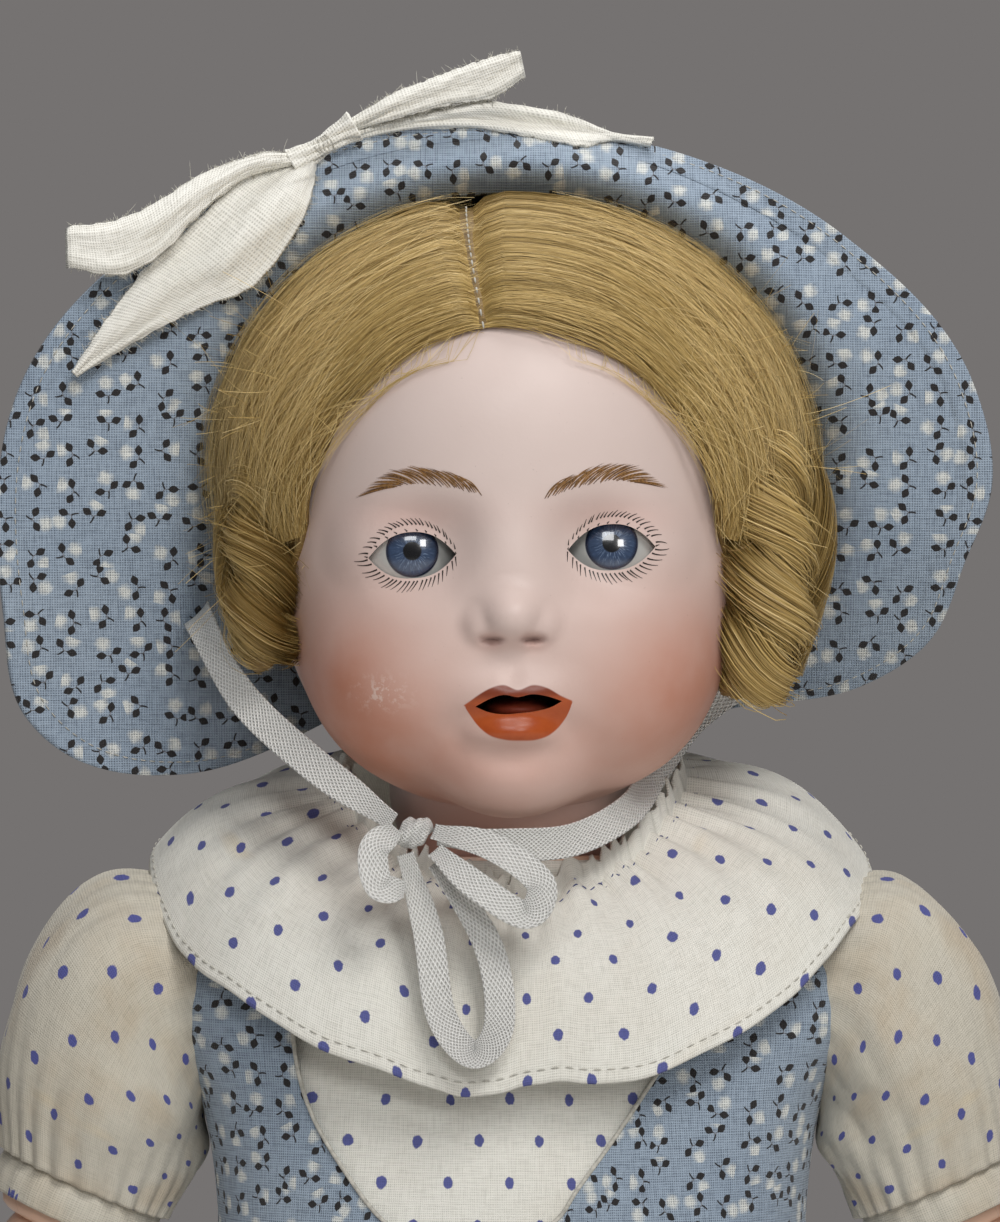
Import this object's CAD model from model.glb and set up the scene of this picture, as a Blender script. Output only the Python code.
"""The looks of a jointed toddler doll, dressed over the frame of its solids. Lengths are in millimetres."""

import math

import bpy
import numpy as np
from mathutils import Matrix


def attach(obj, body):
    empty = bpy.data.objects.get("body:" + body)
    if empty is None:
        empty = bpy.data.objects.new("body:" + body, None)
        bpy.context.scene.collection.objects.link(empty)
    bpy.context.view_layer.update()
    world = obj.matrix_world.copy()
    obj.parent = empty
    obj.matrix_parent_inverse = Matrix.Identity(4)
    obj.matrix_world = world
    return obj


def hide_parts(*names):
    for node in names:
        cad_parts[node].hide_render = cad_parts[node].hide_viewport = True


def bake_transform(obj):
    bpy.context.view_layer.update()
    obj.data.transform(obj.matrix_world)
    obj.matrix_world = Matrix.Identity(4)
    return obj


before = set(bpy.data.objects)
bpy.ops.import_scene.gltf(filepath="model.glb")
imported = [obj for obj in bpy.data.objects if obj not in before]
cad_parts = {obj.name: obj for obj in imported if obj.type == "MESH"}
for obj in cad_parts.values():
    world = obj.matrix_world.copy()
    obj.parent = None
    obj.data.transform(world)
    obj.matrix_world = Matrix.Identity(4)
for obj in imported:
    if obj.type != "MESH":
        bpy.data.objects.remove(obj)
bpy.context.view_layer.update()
rng = np.random.default_rng(7)

MM = 0.001
NECK = np.array([0.0, -2.7, 296.0])  # neck centre, where the head's own frame starts
BODY_Y = -2.7
LEAN = 0.04  # the face's features rise a little towards the doll's left
SIDES = {"left": 1, "right": -1}


# Numbers and fields


def smooth(t):
    """0 below 0, 1 above 1 and an even S between."""
    s = np.clip(t, 0, 1)
    return s * s * (3 - 2 * s)


def mix(a, b, t):
    """a at t = 0 and b at t = 1."""
    return a + (b - a) * t


def unit(v):
    return v / np.maximum(np.linalg.norm(v, axis=-1, keepdims=True), 1e-9)


def stacked(*parts):
    """Coordinates side by side: points from their x, y and z."""
    return np.stack(parts, -1)


def about(u):
    """An angle from half a turn back to half a turn on, for u from 0 to 1."""
    return (2 * u - 1) * np.pi


def ripple(x, y, seed, waves=6):
    """A smooth uneven field from about -1 to 1 that repeats nowhere near."""
    draw = np.random.default_rng(seed)
    total = 0
    for _ in range(waves):
        a, b = draw.uniform(-1, 1, 2) * 2.2
        total = total + np.sin(a * x + b * y + draw.uniform(0, 6.28))
    return total / math.sqrt(waves) / 1.4


def spline(stations, t):
    """A smooth curve through rows of stations whose first number is the place; even slopes on both sides."""
    rows = np.array(stations, float)
    x, y = rows[:, 0], rows[:, 1:]
    slope = np.gradient(y, x, axis=0)
    t = np.clip(np.asarray(t, float), x[0], x[-1])
    i = np.clip(np.searchsorted(x, t) - 1, 0, len(x) - 2)
    span = (x[i + 1] - x[i])[..., None]
    s = (t[..., None] - x[i][..., None]) / span
    a, b = y[i], y[i + 1]
    rise = s * (1 - s) * (slope[i] * (1 - s) - slope[i + 1] * s) * span
    return mix(a, b, s * s * (3 - 2 * s)) + rise


def curve(points, t):
    """A smooth curve through points, with t from 0 to 1 evenly over them."""
    rows = [[k / (len(points) - 1), *p] for k, p in enumerate(points)]
    return spline(rows, t)


def circle(count):
    """Angles of count points evenly round a circle."""
    return np.arange(count) / count * 2 * np.pi


def ring_faces(rows, around, flip=False, capped=True):
    """Quads between rings of points laid one after the other, then the faces that close the two ends."""
    i, k = np.meshgrid(np.arange(rows), np.arange(around), indexing="ij")
    nxt = (k + 1) % around
    corners = [i * around + k, i * around + nxt, (i + 1) * around + nxt, (i + 1) * around + k]
    if flip:
        corners = [corners[c] for c in (0, 3, 2, 1)]
    faces = [list(q) for q in np.stack(corners, -1).reshape(-1, 4)]
    if not capped:
        return faces
    first, last = list(range(around)), list(range(rows * around, (rows + 1) * around))
    return faces + ([first, last[::-1]] if flip else [first[::-1], last])


# Meshes


def put(name, points, faces, material, body=None, replaced=(), slot=None, uv=None, marks=None):
    """A mesh in the scene, on its body, with the solids it stands for and its material slot."""
    mesh = bpy.data.meshes.new(name)
    mesh.from_pydata((np.asarray(points) * MM).tolist(), [], [list(map(int, f)) for f in faces])
    mesh.polygons.foreach_set("use_smooth", np.ones(len(mesh.polygons), bool))
    if uv is not None:
        mesh.uv_layers.new(name="cloth").data.foreach_set("uv", np.asarray(uv, np.float32).ravel())
    for key, values in (marks or {}).items():
        mesh.attributes.new(key, "FLOAT", "POINT").data.foreach_set("value", np.asarray(values, np.float32))
    mesh.materials.append(material)
    obj = bpy.data.objects.new(name, mesh)
    bpy.context.scene.collection.objects.link(obj)
    if body:
        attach(obj, body)
    if replaced:
        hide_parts(*replaced)
    return obj


def cloth(at, nu, nv, thick, wraps=False, size=None):
    """Points, faces and pattern coordinates of a cloth shell on the surface at(u, v)."""
    u, v = np.meshgrid(np.linspace(0, 1, nu + 1), np.linspace(0, 1, nv + 1), indexing="ij")
    p = at(u, v)
    along_u = np.gradient(p, axis=0)
    if wraps:
        along_u[0] = along_u[-1] = p[1] - p[-2]
    normal = unit(np.cross(along_u, np.gradient(p, axis=1)))
    cols, rows = (nu if wraps else nu + 1), nv + 1
    layers = [p + normal * thick / 2, p - normal * thick / 2]
    points = np.concatenate([q[:cols].reshape(-1, 3) for q in layers])
    if size is None:
        across = np.linalg.norm(np.diff(p, axis=0), axis=2).sum(0).max()
        down = np.linalg.norm(np.diff(p, axis=1), axis=2).sum(1).mean()
        size = (across, down)
    quads, coords = [], []

    def quad(*corners):
        ids = [side * cols * rows + (i % cols) * rows + j for side, i, j in corners]
        quads.append(np.stack(ids, -1))
        flat = [stacked(i / nu * size[0], j / nv * size[1]) for _, i, j in corners]
        coords.append(np.stack(flat, 1))

    i, j = [g.ravel() for g in np.meshgrid(np.arange(nu), np.arange(nv), indexing="ij")]
    quad((0, i, j), (0, i + 1, j), (0, i + 1, j + 1), (0, i, j + 1))
    quad((1, i, j), (1, i, j + 1), (1, i + 1, j + 1), (1, i + 1, j))
    k = np.arange(nu)
    low, high = 0 * k, 0 * k + nv
    quad((0, k, low), (1, k, low), (1, k + 1, low), (0, k + 1, low))
    quad((0, k, high), (0, k + 1, high), (1, k + 1, high), (1, k, high))
    if not wraps:
        k = np.arange(nv)
        low, high = 0 * k, 0 * k + nu
        quad((0, low, k), (0, low, k + 1), (1, low, k + 1), (1, low, k))
        quad((0, high, k), (1, high, k), (1, high, k + 1), (0, high, k + 1))
    return points, np.concatenate(quads), np.concatenate(coords).reshape(-1, 2)


def sew(name, at, grid, thick, material, body, node, slot, size=None):
    """A cloth piece that closes on itself, its pattern laid out to that size."""
    points, faces, uv = cloth(at, *grid, thick, True, size)
    return put(name, points, faces, material, body, [node], slot, uv)


def strips(paths, across, half_width):
    """Flat strands along paths (n, m, 3); across is the direction of their width."""
    n, m = paths.shape[:2]
    side = unit(across) * np.asarray(half_width)[..., None]
    points = np.stack([paths - side, paths + side], 2).reshape(-1, 3)
    base = (np.arange(n)[:, None] * m + np.arange(m - 1)[None]).ravel() * 2
    faces = stacked(base, base + 1, base + 3, base + 2)
    return points, faces


def tubes(paths, radius, sides=5, facing=(0, -1, 0)):
    """Round threads along paths (n, m, 3) that taper shut at both ends."""
    n, m = paths.shape[:2]
    tangent = unit(np.gradient(paths, axis=1))
    first = unit(np.cross(tangent, np.broadcast_to(np.array(facing, float) + 0.013, tangent.shape)))
    second = np.cross(tangent, first)
    taper = np.ones(m)
    taper[0] = taper[-1] = 0.12
    reach = np.broadcast_to(np.asarray(radius, float).reshape(-1, 1), (n, m)) * taper
    turn = circle(sides)
    ring = first[:, :, None] * np.cos(turn)[:, None] + second[:, :, None] * np.sin(turn)[:, None]
    points = (paths[:, :, None] + ring * reach[:, :, None, None]).reshape(-1, 3)
    a = (np.arange(n)[:, None, None] * m + np.arange(m - 1)[None, :, None]) * sides
    k = np.arange(sides)[None, None]
    nxt = (k + 1) % sides
    quads = stacked(a + k, a + nxt, a + sides + nxt, a + sides + k).reshape(-1, 4)
    starts = np.arange(n)[:, None] * m * sides + np.arange(sides)[None, ::-1]
    ends = (np.arange(n)[:, None] * m + m - 1) * sides + np.arange(sides)[None]
    return points, [list(q) for q in quads] + [list(q) for q in np.concatenate([starts, ends])]


def stitches(path, pitch, radius, fill=0.62, lift=None):
    """Short threads laid end to end along a dense path, each bowed up a little by lift."""
    steps = np.linalg.norm(np.diff(path, axis=0), axis=1)
    far = np.concatenate([[0], np.cumsum(steps)])
    count = max(2, int(far[-1] / pitch))
    begin = np.arange(count) * far[-1] / count
    t = begin[:, None] + np.linspace(0, fill * far[-1] / count, 5)[None]
    runs = np.stack([np.interp(t, far, path[:, k]) for k in range(3)], -1)
    if lift is not None:
        bow = np.array([0, 0.75, 1, 0.75, 0])
        up = np.stack([np.interp(t, far, lift[:, k]) for k in range(3)], -1)
        runs = runs + up * bow[None, :, None]
    return tubes(runs, np.full(count, radius))


def lathe(profile, around=64):
    """A turned form about Z from [radius, height] stations that start and end on the axis."""
    rows = np.array(profile, float)
    t = np.linspace(0, 1, 6 * (len(rows) - 1) + 1)
    r, z = curve(rows, t).T
    r = np.maximum(r, 0.01)
    turn = circle(around)
    x = r[:, None] * np.cos(turn)
    y = r[:, None] * np.sin(turn)
    points = stacked(x, y, np.broadcast_to(z[:, None], x.shape)).reshape(-1, 3)
    return points, ring_faces(len(r) - 1, around)


def ellipsoid(centre, radii, around=32, rows=20):
    """A closed ball with its own radius along each axis."""
    lift = np.linspace(-np.pi / 2, np.pi / 2, rows + 1)
    profile_r, profile_z = np.cos(lift), np.sin(lift)
    profile_r[[0, -1]] = 0.004
    turn = circle(around)
    x = profile_r[:, None] * np.cos(turn)
    y = profile_r[:, None] * np.sin(turn)
    ball = stacked(x, y, np.broadcast_to(profile_z[:, None], x.shape)).reshape(-1, 3)
    return ball * np.array(radii) + np.array(centre), ring_faces(rows, around)


def prism(outline, y0, y1):
    """An outline in X and Z pushed through along Y; the outline runs anticlockwise seen from the front."""
    flat = np.array(outline, float)
    n = len(flat)
    front = stacked(flat[:, 0], np.full(n, y0), flat[:, 1])
    back = front + np.array([0, y1 - y0, 0])
    return np.concatenate([front, back]), ring_faces(1, n, flip=True)


def joined(parts):
    """Several meshes as one."""
    points, faces, start = [], [], 0
    for p, f in parts:
        points.append(p)
        faces.extend([[int(v) + start for v in face] for face in f])
        start += len(p)
    return np.concatenate(points), faces


def evaluated(obj):
    """Points and faces of an object with its modifiers done."""
    made = obj.evaluated_get(bpy.context.evaluated_depsgraph_get()).to_mesh()
    found = np.array([v.co for v in made.vertices]) / MM
    return found, [list(p.vertices) for p in made.polygons]


def carved(points, faces, cutters, keep="DIFFERENCE"):
    """The closed form points, faces with each closed cutter taken away, as new points and faces."""
    blank = bpy.data.materials.new("blank")
    obj = put("carved", points, faces, blank)
    tools = []
    for k, (p, f) in enumerate(cutters):
        tool = put(f"cutter_{k}", p, f, blank)
        cut = obj.modifiers.new("cut", "BOOLEAN")
        cut.operation = keep
        cut.solver = "EXACT"
        cut.object = tool
        tools.append(tool)
    found = evaluated(obj)
    for gone in [obj, *tools]:
        bpy.data.objects.remove(gone)
    bpy.data.materials.remove(blank)
    return found


def crease(obj, degrees):
    """Hard edges where faces meet at more than that angle."""
    mesh = obj.data
    mesh.update()
    normals = np.array([p.normal for p in mesh.polygons])
    owners = {}
    for p in mesh.polygons:
        for key in p.edge_keys:
            owners.setdefault(key, []).append(p.index)
    limit = math.cos(math.radians(degrees))
    for edge in mesh.edges:
        pair = owners.get(tuple(sorted(edge.vertices)), [])
        if len(pair) == 2 and normals[pair[0]] @ normals[pair[1]] < limit:
            edge.use_edge_sharp = True


# Materials


def srgb(r, g, b):
    """A colour as it looks on a screen, from 0 to 255, in linear light."""
    c = np.array([r, g, b]) / 255
    linear = np.where(c <= 0.04045, c / 12.92, ((c + 0.055) / 1.055) ** 2.4)
    return (*map(float, linear), 1.0)


class Look:
    """A material built from nodes round one Principled shader."""

    def __init__(self, name, **sockets):
        self.material = bpy.data.materials.new(name)
        self.material.use_nodes = True
        self.tree = self.material.node_tree
        self.shader = self.tree.nodes["Principled BSDF"]
        for key, value in sockets.items():
            self.give(self.shader.inputs[key.replace("_", " ")], value)

    def give(self, socket, value):
        if isinstance(value, bpy.types.NodeSocket):
            self.tree.links.new(value, socket)
        else:
            socket.default_value = value

    def node(self, kind, settings=None, **inputs):
        made = self.tree.nodes.new("ShaderNode" + kind)
        for key, value in (settings or {}).items():
            setattr(made, key, value)
        for key, value in inputs.items():
            self.give(made.inputs[key.replace("_", " ")], value)
        return made

    def math(self, operation, *values):
        made = self.node("Math", {"operation": operation})
        for k, value in enumerate(values):
            self.give(made.inputs[k], value)
        return made.outputs[0]

    def times(self, a, b):
        return self.math("MULTIPLY", a, b)

    def plus(self, a, b):
        return self.math("ADD", a, b)

    def minus(self, a, b):
        return self.math("SUBTRACT", a, b)

    def scaled(self, a, by, plus):
        return self.math("MULTIPLY_ADD", a, by, plus)

    def size(self, a):
        return self.math("ABSOLUTE", a)

    def vector(self, operation, a, b=None):
        made = self.node("VectorMath", {"operation": operation})
        self.give(made.inputs[0], a)
        if b is not None:
            self.give(made.inputs[1], b)
        return made.outputs["Value" if operation == "LENGTH" else "Vector"]

    def mix(self, factor, a, b, blend="MIX"):
        made = self.node("Mix", {"data_type": "RGBA", "blend_type": blend})
        for index, value in ((0, factor), (6, a), (7, b)):
            self.give(made.inputs[index], value)
        return made.outputs[2]

    def step(self, value, low, high):
        """0 below low and 1 above high, smoothly; low may be the larger."""
        made = self.node("MapRange", {"interpolation_type": "SMOOTHSTEP"})
        flip = low > high
        ends = (high, low, 1.0, 0.0) if flip else (low, high, 0.0, 1.0)
        for index, v in enumerate((value, *ends)):
            self.give(made.inputs[index], v)
        return made.outputs[0]

    def mark(self, name):
        return self.node("Attribute", {"attribute_name": name}).outputs["Fac"]

    def place(self, scale=1000.0):
        """The point on the object, in millimetres by default."""
        source = self.node("TexCoord").outputs["Object"]
        return self.vector("MULTIPLY", source, (scale,) * 3)

    def pattern(self):
        return self.node("UVMap", {"uv_map": "cloth"}).outputs[0]

    def apart(self, vector):
        return self.node("SeparateXYZ", Vector=vector).outputs

    def noise(self, vector, scale, detail=2.0, roughness=0.5):
        made = self.node("TexNoise", Vector=vector, Scale=scale, Detail=detail, Roughness=roughness)
        return made.outputs["Fac"]

    def bump(self, height, distance, strength=1.0):
        made = self.node("Bump", Height=height, Strength=strength, Distance=distance * MM)
        self.give(self.shader.inputs["Normal"], made.outputs[0])

    def base(self, colour):
        self.give(self.shader.inputs["Base Color"], colour)
        return self


def weave(look, flat, pitch, depth):
    """Threads of a plain weave on pattern coordinates: 1 on a light thread, 0 in a gap between threads."""
    x, y, _ = look.apart(flat)
    wobble = look.times(look.noise(flat, 0.45, 2.0), 2.4)
    tracks = []
    for axis in (x, y):
        phase = look.scaled(axis, 2 * math.pi / pitch, wobble)
        tracks.append(look.scaled(look.math("COSINE", phase), 0.5, 0.5))
    gap = look.times(*tracks)
    warp = look.noise(look.vector("MULTIPLY", flat, (1.1 / pitch, 0.3, 1.0)), 1.0, 1.0)
    weft = look.noise(look.vector("MULTIPLY", flat, (0.3, 1.1 / pitch, 1.0)), 1.0, 1.0)
    slub = look.plus(warp, weft)
    tone = look.scaled(slub, 1.1, -0.35)
    height = look.minus(tone, gap)
    look.bump(height, depth)
    return look.plus(height, 0.25)


def woven(look, flat, printed, pitch, depth, shown, gap):
    """A print with its threads pitch apart; shown is how far they show, gap the colour between them."""
    thread = weave(look, flat, pitch, depth)
    return look.base(look.mix(shown, printed, look.mix(thread, srgb(*gap), srgb(255, 255, 255)), "MULTIPLY"))


SPRIG_APART = 4.7
LEAF_LONG = 1.62
LEAF_WIDE = 1.12
STEM_LONG = 1.1
BLOSSOM_AWAY = 2.0


def make_calico():
    look = Look("calico", Roughness=0.88, Sheen_Weight=0.12, Sheen_Roughness=0.5)
    flat = look.pattern()
    cells = look.node(
        "TexVoronoi",
        {"voronoi_dimensions": "2D", "feature": "F1"},
        Vector=flat,
        Scale=1 / SPRIG_APART,
        Randomness=0.5,
    )
    away = look.vector("SUBTRACT", flat, cells.outputs["Position"])
    tint = look.node("SeparateColor", Color=cells.outputs["Color"]).outputs
    turn = look.times(tint[0], 2 * math.pi)
    turned = look.node("VectorRotate", {"rotation_type": "Z_AXIS"}, Vector=away, Angle=turn).outputs[0]
    x, y, _ = look.apart(turned)
    across = look.size(x)
    # Two pointed leaves open in a V from the head of a thin stem, no two pairs quite alike
    tilt = look.times(look.math("SIGN", x), look.scaled(tint[2], 0.7, -0.35))
    rise = look.plus(tilt, look.scaled(tint[1], 0.4, 0.25))
    c, d = look.math("COSINE", rise), look.math("SINE", rise)
    along = look.plus(look.times(across, c), look.times(y, d))
    over = look.minus(look.times(y, c), look.times(across, d))
    reach = look.math("DIVIDE", look.minus(along, 0.4 + LEAF_LONG / 2), LEAF_LONG / 2)
    taper = look.minus(1.0, look.math("POWER", look.size(reach), 1.7))
    ragged = look.scaled(look.noise(flat, 4.0, 1.0), 0.16, -0.08)
    width = look.scaled(taper, LEAF_WIDE / 2, ragged)
    leaf = look.step(look.minus(width, look.size(over)), -0.04, 0.06)
    bent = look.scaled(look.times(y, y), 0.3, x)
    stem = look.step(look.size(bent), 0.17, 0.08)
    stem = look.times(stem, look.step(look.size(look.plus(y, STEM_LONG / 2)), 0.56, 0.46))
    twig = look.step(look.size(over), 0.1, 0.03)
    twig = look.times(twig, look.step(along, 0.6, 0.5))
    twig = look.times(twig, look.step(y, -0.2, -0.05))
    # The blossom in the V is a soft dab with an uneven edge
    bloom_at = look.vector("SUBTRACT", turned, (0.1, BLOSSOM_AWAY, 0.0))
    frill = look.times(look.noise(flat, 1.3, 2.0), 1.1)
    bloom = look.step(look.plus(look.vector("LENGTH", bloom_at), frill), 1.95, 0.95)
    fade = look.noise(flat, 0.035, 2.0)
    ground = look.mix(fade, srgb(142, 160, 180), srgb(170, 184, 198))
    ground = look.mix(look.times(bloom, 0.85), ground, srgb(234, 235, 228))
    printed = look.mix(look.times(twig, 0.6), ground, srgb(90, 66, 44))
    sprig = look.times(look.math("MAXIMUM", leaf, stem), 0.97)
    printed = look.mix(sprig, printed, srgb(30, 22, 18))
    return woven(look, flat, printed, 0.36, 0.08, 0.75, (96, 104, 120))


DOT_ACROSS, DOT_UP = 5.9, 6.0


def make_lawn(name, dark, light, stained):
    """White lawn with pin dots; stained is how far it has browned."""
    look = Look(name, Roughness=0.85, Sheen_Weight=0.1, Sheen_Roughness=0.5)
    flat = look.pattern()
    wander = look.node("TexNoise", Vector=flat, Scale=0.25).outputs["Color"]
    soft = look.vector("ADD", flat, look.vector("MULTIPLY", wander, (0.9, 0.9, 0)))
    dots = None
    for shift in ((0.0, 0.0), (DOT_ACROSS, DOT_UP)):
        x, y, _ = look.apart(look.vector("ADD", soft, (*shift, 0.0)))
        dx = look.math("PINGPONG", x, DOT_ACROSS)
        dy = look.math("PINGPONG", y, DOT_UP)
        spot = look.math("SQRT", look.plus(look.math("POWER", dx, 2.0), look.math("POWER", dy, 2.0)))
        rough = look.times(look.noise(flat, 2.2, 1.0), 0.35)
        found = look.step(look.plus(spot, rough), 1.16, 0.94)
        dots = found if dots is None else look.math("MAXIMUM", dots, found)
    ground = look.mix(look.noise(flat, 0.03, 3.0), srgb(*dark), srgb(*light))
    stain = look.step(look.noise(look.vector("MULTIPLY", flat, (0.02, 0.06, 1.0)), 1.3, 2.0), 0.64, 0.76)
    ground = look.mix(look.times(stain, 0.4), ground, srgb(222, 190, 128))
    browned = look.step(look.noise(flat, 0.06, 3.0), 0.42, 0.7)
    ground = look.mix(look.times(browned, stained), ground, srgb(186, 164, 132))
    printed = look.mix(look.times(dots, 0.92), ground, srgb(58, 68, 152))
    return woven(look, flat, printed, 0.34, 0.04, 0.38, (140, 137, 124))


def make_plain_cloth(name, dark, light, pitch, depth):
    look = Look(name, Roughness=0.88, Sheen_Weight=0.1, Sheen_Roughness=0.5)
    flat = look.pattern()
    ground = look.mix(look.noise(flat, 0.08, 3.0), srgb(*dark), srgb(*light))
    return woven(look, flat, ground, pitch, depth, 0.45, (146, 142, 130))


def make_satin():
    """A braided ribbon: threads that cross on the slant in a long diamond plait."""
    look = Look("satin", Roughness=0.42, Sheen_Weight=0.2, Sheen_Roughness=0.3)
    flat = look.pattern()
    x, y, _ = look.apart(flat)
    wobble = look.times(look.noise(flat, 0.8, 2.0), 2.2)
    slant = look.times(x, 1.5)
    a = look.math("SINE", look.scaled(look.plus(slant, y), 7.0, wobble))
    b = look.math("SINE", look.scaled(look.minus(slant, y), 7.0, wobble))
    fine = look.noise(look.vector("MULTIPLY", flat, (9.0, 2.0, 1.0)), 1.5, 2.0)
    height = look.plus(look.math("MAXIMUM", a, b), look.times(fine, 0.9))
    look.bump(height, 0.16)
    shade = look.step(height, -0.5, 1.1)
    return look.base(look.mix(shade, srgb(216, 214, 207), srgb(255, 254, 250)))


def make_bisque():
    look = Look("bisque", Coat_Weight=0.07, Coat_Roughness=0.25, Specular_IOR_Level=0.4)
    where = look.place()
    cloudy = look.noise(where, 0.05, 3.0)
    skin = look.mix(cloudy, srgb(216, 195, 187), srgb(229, 211, 204))
    speck = look.step(look.noise(where, 1.7, 2.0, 0.7), 0.735, 0.76)
    skin = look.mix(look.times(speck, 0.3), skin, srgb(140, 120, 110))
    skin = look.mix(look.mark("rosy"), skin, srgb(196, 142, 128))
    patchy = look.times(look.mark("blush"), look.scaled(look.noise(where, 0.12, 3.0), 0.5, 0.75))
    skin = look.mix(patchy, skin, srgb(186, 106, 68))
    scuff = look.times(look.mark("scuff"), look.step(look.noise(where, 0.9, 4.0, 0.7), 0.52, 0.62))
    skin = look.mix(scuff, skin, srgb(232, 214, 204))
    lips = look.step(look.mark("lips"), -0.14, 0.16)
    red = look.mix(look.noise(where, 0.5, 3.0), srgb(164, 68, 26), srgb(186, 90, 40))
    red = look.mix(look.mark("shaded"), red, srgb(128, 58, 34))
    skin = look.mix(lips, skin, red)
    skin = look.mix(look.mark("inside"), skin, srgb(62, 26, 18))
    look.base(skin)
    grain = look.noise(where, 3.0, 2.0)
    rough = look.scaled(grain, 0.08, 0.46)
    gloss = look.node("Mix", {"data_type": "FLOAT"})
    for index, value in ((0, lips), (2, rough), (3, 0.3)):
        look.give(gloss.inputs[index], value)
    look.give(look.shader.inputs["Roughness"], gloss.outputs[0])
    look.bump(look.noise(where, 1.1, 3.0), 0.02)
    return look


IRIS_R = 3.82
PUPIL_R = 1.32


def make_eye_glass():
    look = Look("eye_glass", Roughness=0.2, Coat_Weight=1.0, Coat_Roughness=0.02, Coat_IOR=1.6)
    flat = look.pattern()
    x, y, _ = look.apart(flat)
    far = look.vector("LENGTH", flat)
    turn = look.math("ARCTAN2", y, x)
    spokes = look.node("CombineXYZ", X=look.times(turn, 7.0), Y=look.times(far, 0.55)).outputs[0]
    thread = look.step(look.noise(spokes, 1.6, 3.0, 0.6), 0.5, 0.68)
    inner = look.step(far, IRIS_R * 0.98, PUPIL_R)
    blue = look.mix(look.noise(spokes, 0.8, 2.0), srgb(38, 52, 76), srgb(64, 84, 116))
    iris = look.mix(look.times(thread, look.times(inner, 0.75)), blue, srgb(134, 154, 182))
    rim = look.step(far, IRIS_R * 0.8, IRIS_R * 0.97)
    iris = look.mix(rim, iris, srgb(28, 35, 56))
    iris = look.mix(look.step(far, PUPIL_R + 0.12, PUPIL_R - 0.1), iris, srgb(6, 6, 9))
    white = look.mix(look.noise(flat, 0.3, 3.0), srgb(170, 171, 168), srgb(190, 190, 185))
    ball = look.mix(look.step(far, IRIS_R + 0.12, IRIS_R - 0.06), white, iris)
    lid = look.step(y, 6.8, 7.1)
    return look.base(look.mix(lid, ball, srgb(206, 176, 164)))


def make_paint(name, colour, roughness):
    look = Look(name, Roughness=roughness)
    shade = look.noise(look.place(), 1.5, 2.0)
    dark = tuple(0.55 * c for c in colour)
    return look.base(look.mix(shade, srgb(*dark), srgb(*colour)))


def make_mohair():
    look = Look("mohair", Roughness=0.55, Specular_IOR_Level=0.25)
    tone = look.mark("tone")
    ramp = look.node("ValToRGB", Fac=tone)
    stops = ramp.color_ramp.elements
    stops[0].position, stops[0].color = 0.0, srgb(94, 72, 36)
    stops[1].position, stops[1].color = 1.0, srgb(236, 210, 152)
    for place, colour in ((0.35, (154, 126, 70)), (0.7, (200, 171, 108))):
        stop = stops.new(place)
        stop.color = srgb(*colour)
    return look.base(ramp.outputs[0])


def make_hair_ground():
    look = Look("hair_ground", Roughness=0.55)
    streak = look.noise(look.vector("MULTIPLY", look.place(), (0.6, 2.6, 2.6)), 1.2, 3.0)
    look.bump(streak, 0.3)
    return look.base(look.mix(streak, srgb(92, 70, 34), srgb(160, 130, 74)))


def make_composition():
    look = Look("composition", Coat_Weight=0.35, Coat_Roughness=0.2)
    where = look.place()
    skin = look.mix(look.noise(where, 0.06, 3.0), srgb(214, 172, 146), srgb(226, 188, 162))
    cells = look.node("TexVoronoi", {"feature": "DISTANCE_TO_EDGE"}, Vector=where, Scale=0.11)
    craze = cells.outputs["Distance"]
    line = look.times(look.step(craze, 0.012, 0.0), 0.22)
    skin = look.mix(line, skin, srgb(140, 98, 74))
    worn = look.step(look.noise(where, 0.16, 4.0, 0.65), 0.68, 0.74)
    look.base(look.mix(look.times(worn, 0.35), skin, srgb(186, 134, 104)))
    rough = look.scaled(look.noise(where, 0.4, 3.0), 0.2, 0.32)
    look.give(look.shader.inputs["Roughness"], rough)
    look.bump(look.noise(where, 0.5, 4.0), 0.08)
    return look


def make_grained(name, dark, light, scale, stretch, roughness, metallic=0.0, depth=0.05):
    """A plain material with streaks or mottling, for wood, card, plaster, metal, felt and leather."""
    look = Look(name, Roughness=roughness, Metallic=metallic)
    streak = look.noise(look.vector("MULTIPLY", look.place(), stretch), scale, 4.0, 0.6)
    look.bump(streak, depth)
    return look.base(look.mix(streak, srgb(*dark), srgb(*light)))


def make_leather():
    look = Look("leather", Roughness=0.38, Coat_Weight=0.2, Coat_Roughness=0.3)
    where = look.place()
    pebble = look.node("TexVoronoi", Vector=where, Scale=1.5).outputs["Distance"]
    scuffed = look.step(look.noise(where, 0.2, 4.0, 0.65), 0.56, 0.72)
    look.bump(look.plus(pebble, look.noise(where, 0.7, 3.0)), 0.06)
    return look.base(look.mix(scuffed, srgb(34, 29, 27), srgb(72, 62, 56)))


def make_knit():
    look = Look("knit", Roughness=0.9, Sheen_Weight=0.1, Sheen_Roughness=0.5)
    flat = look.pattern()
    x, y, _ = look.apart(flat)
    rib = look.size(look.math("SINE", look.times(x, 3.2)))
    loop = look.size(look.math("SINE", look.plus(look.times(y, 4.2), rib)))
    height = look.times(rib, loop)
    look.bump(height, 0.25)
    return look.base(look.mix(height, srgb(206, 200, 186), srgb(240, 237, 228)))


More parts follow.
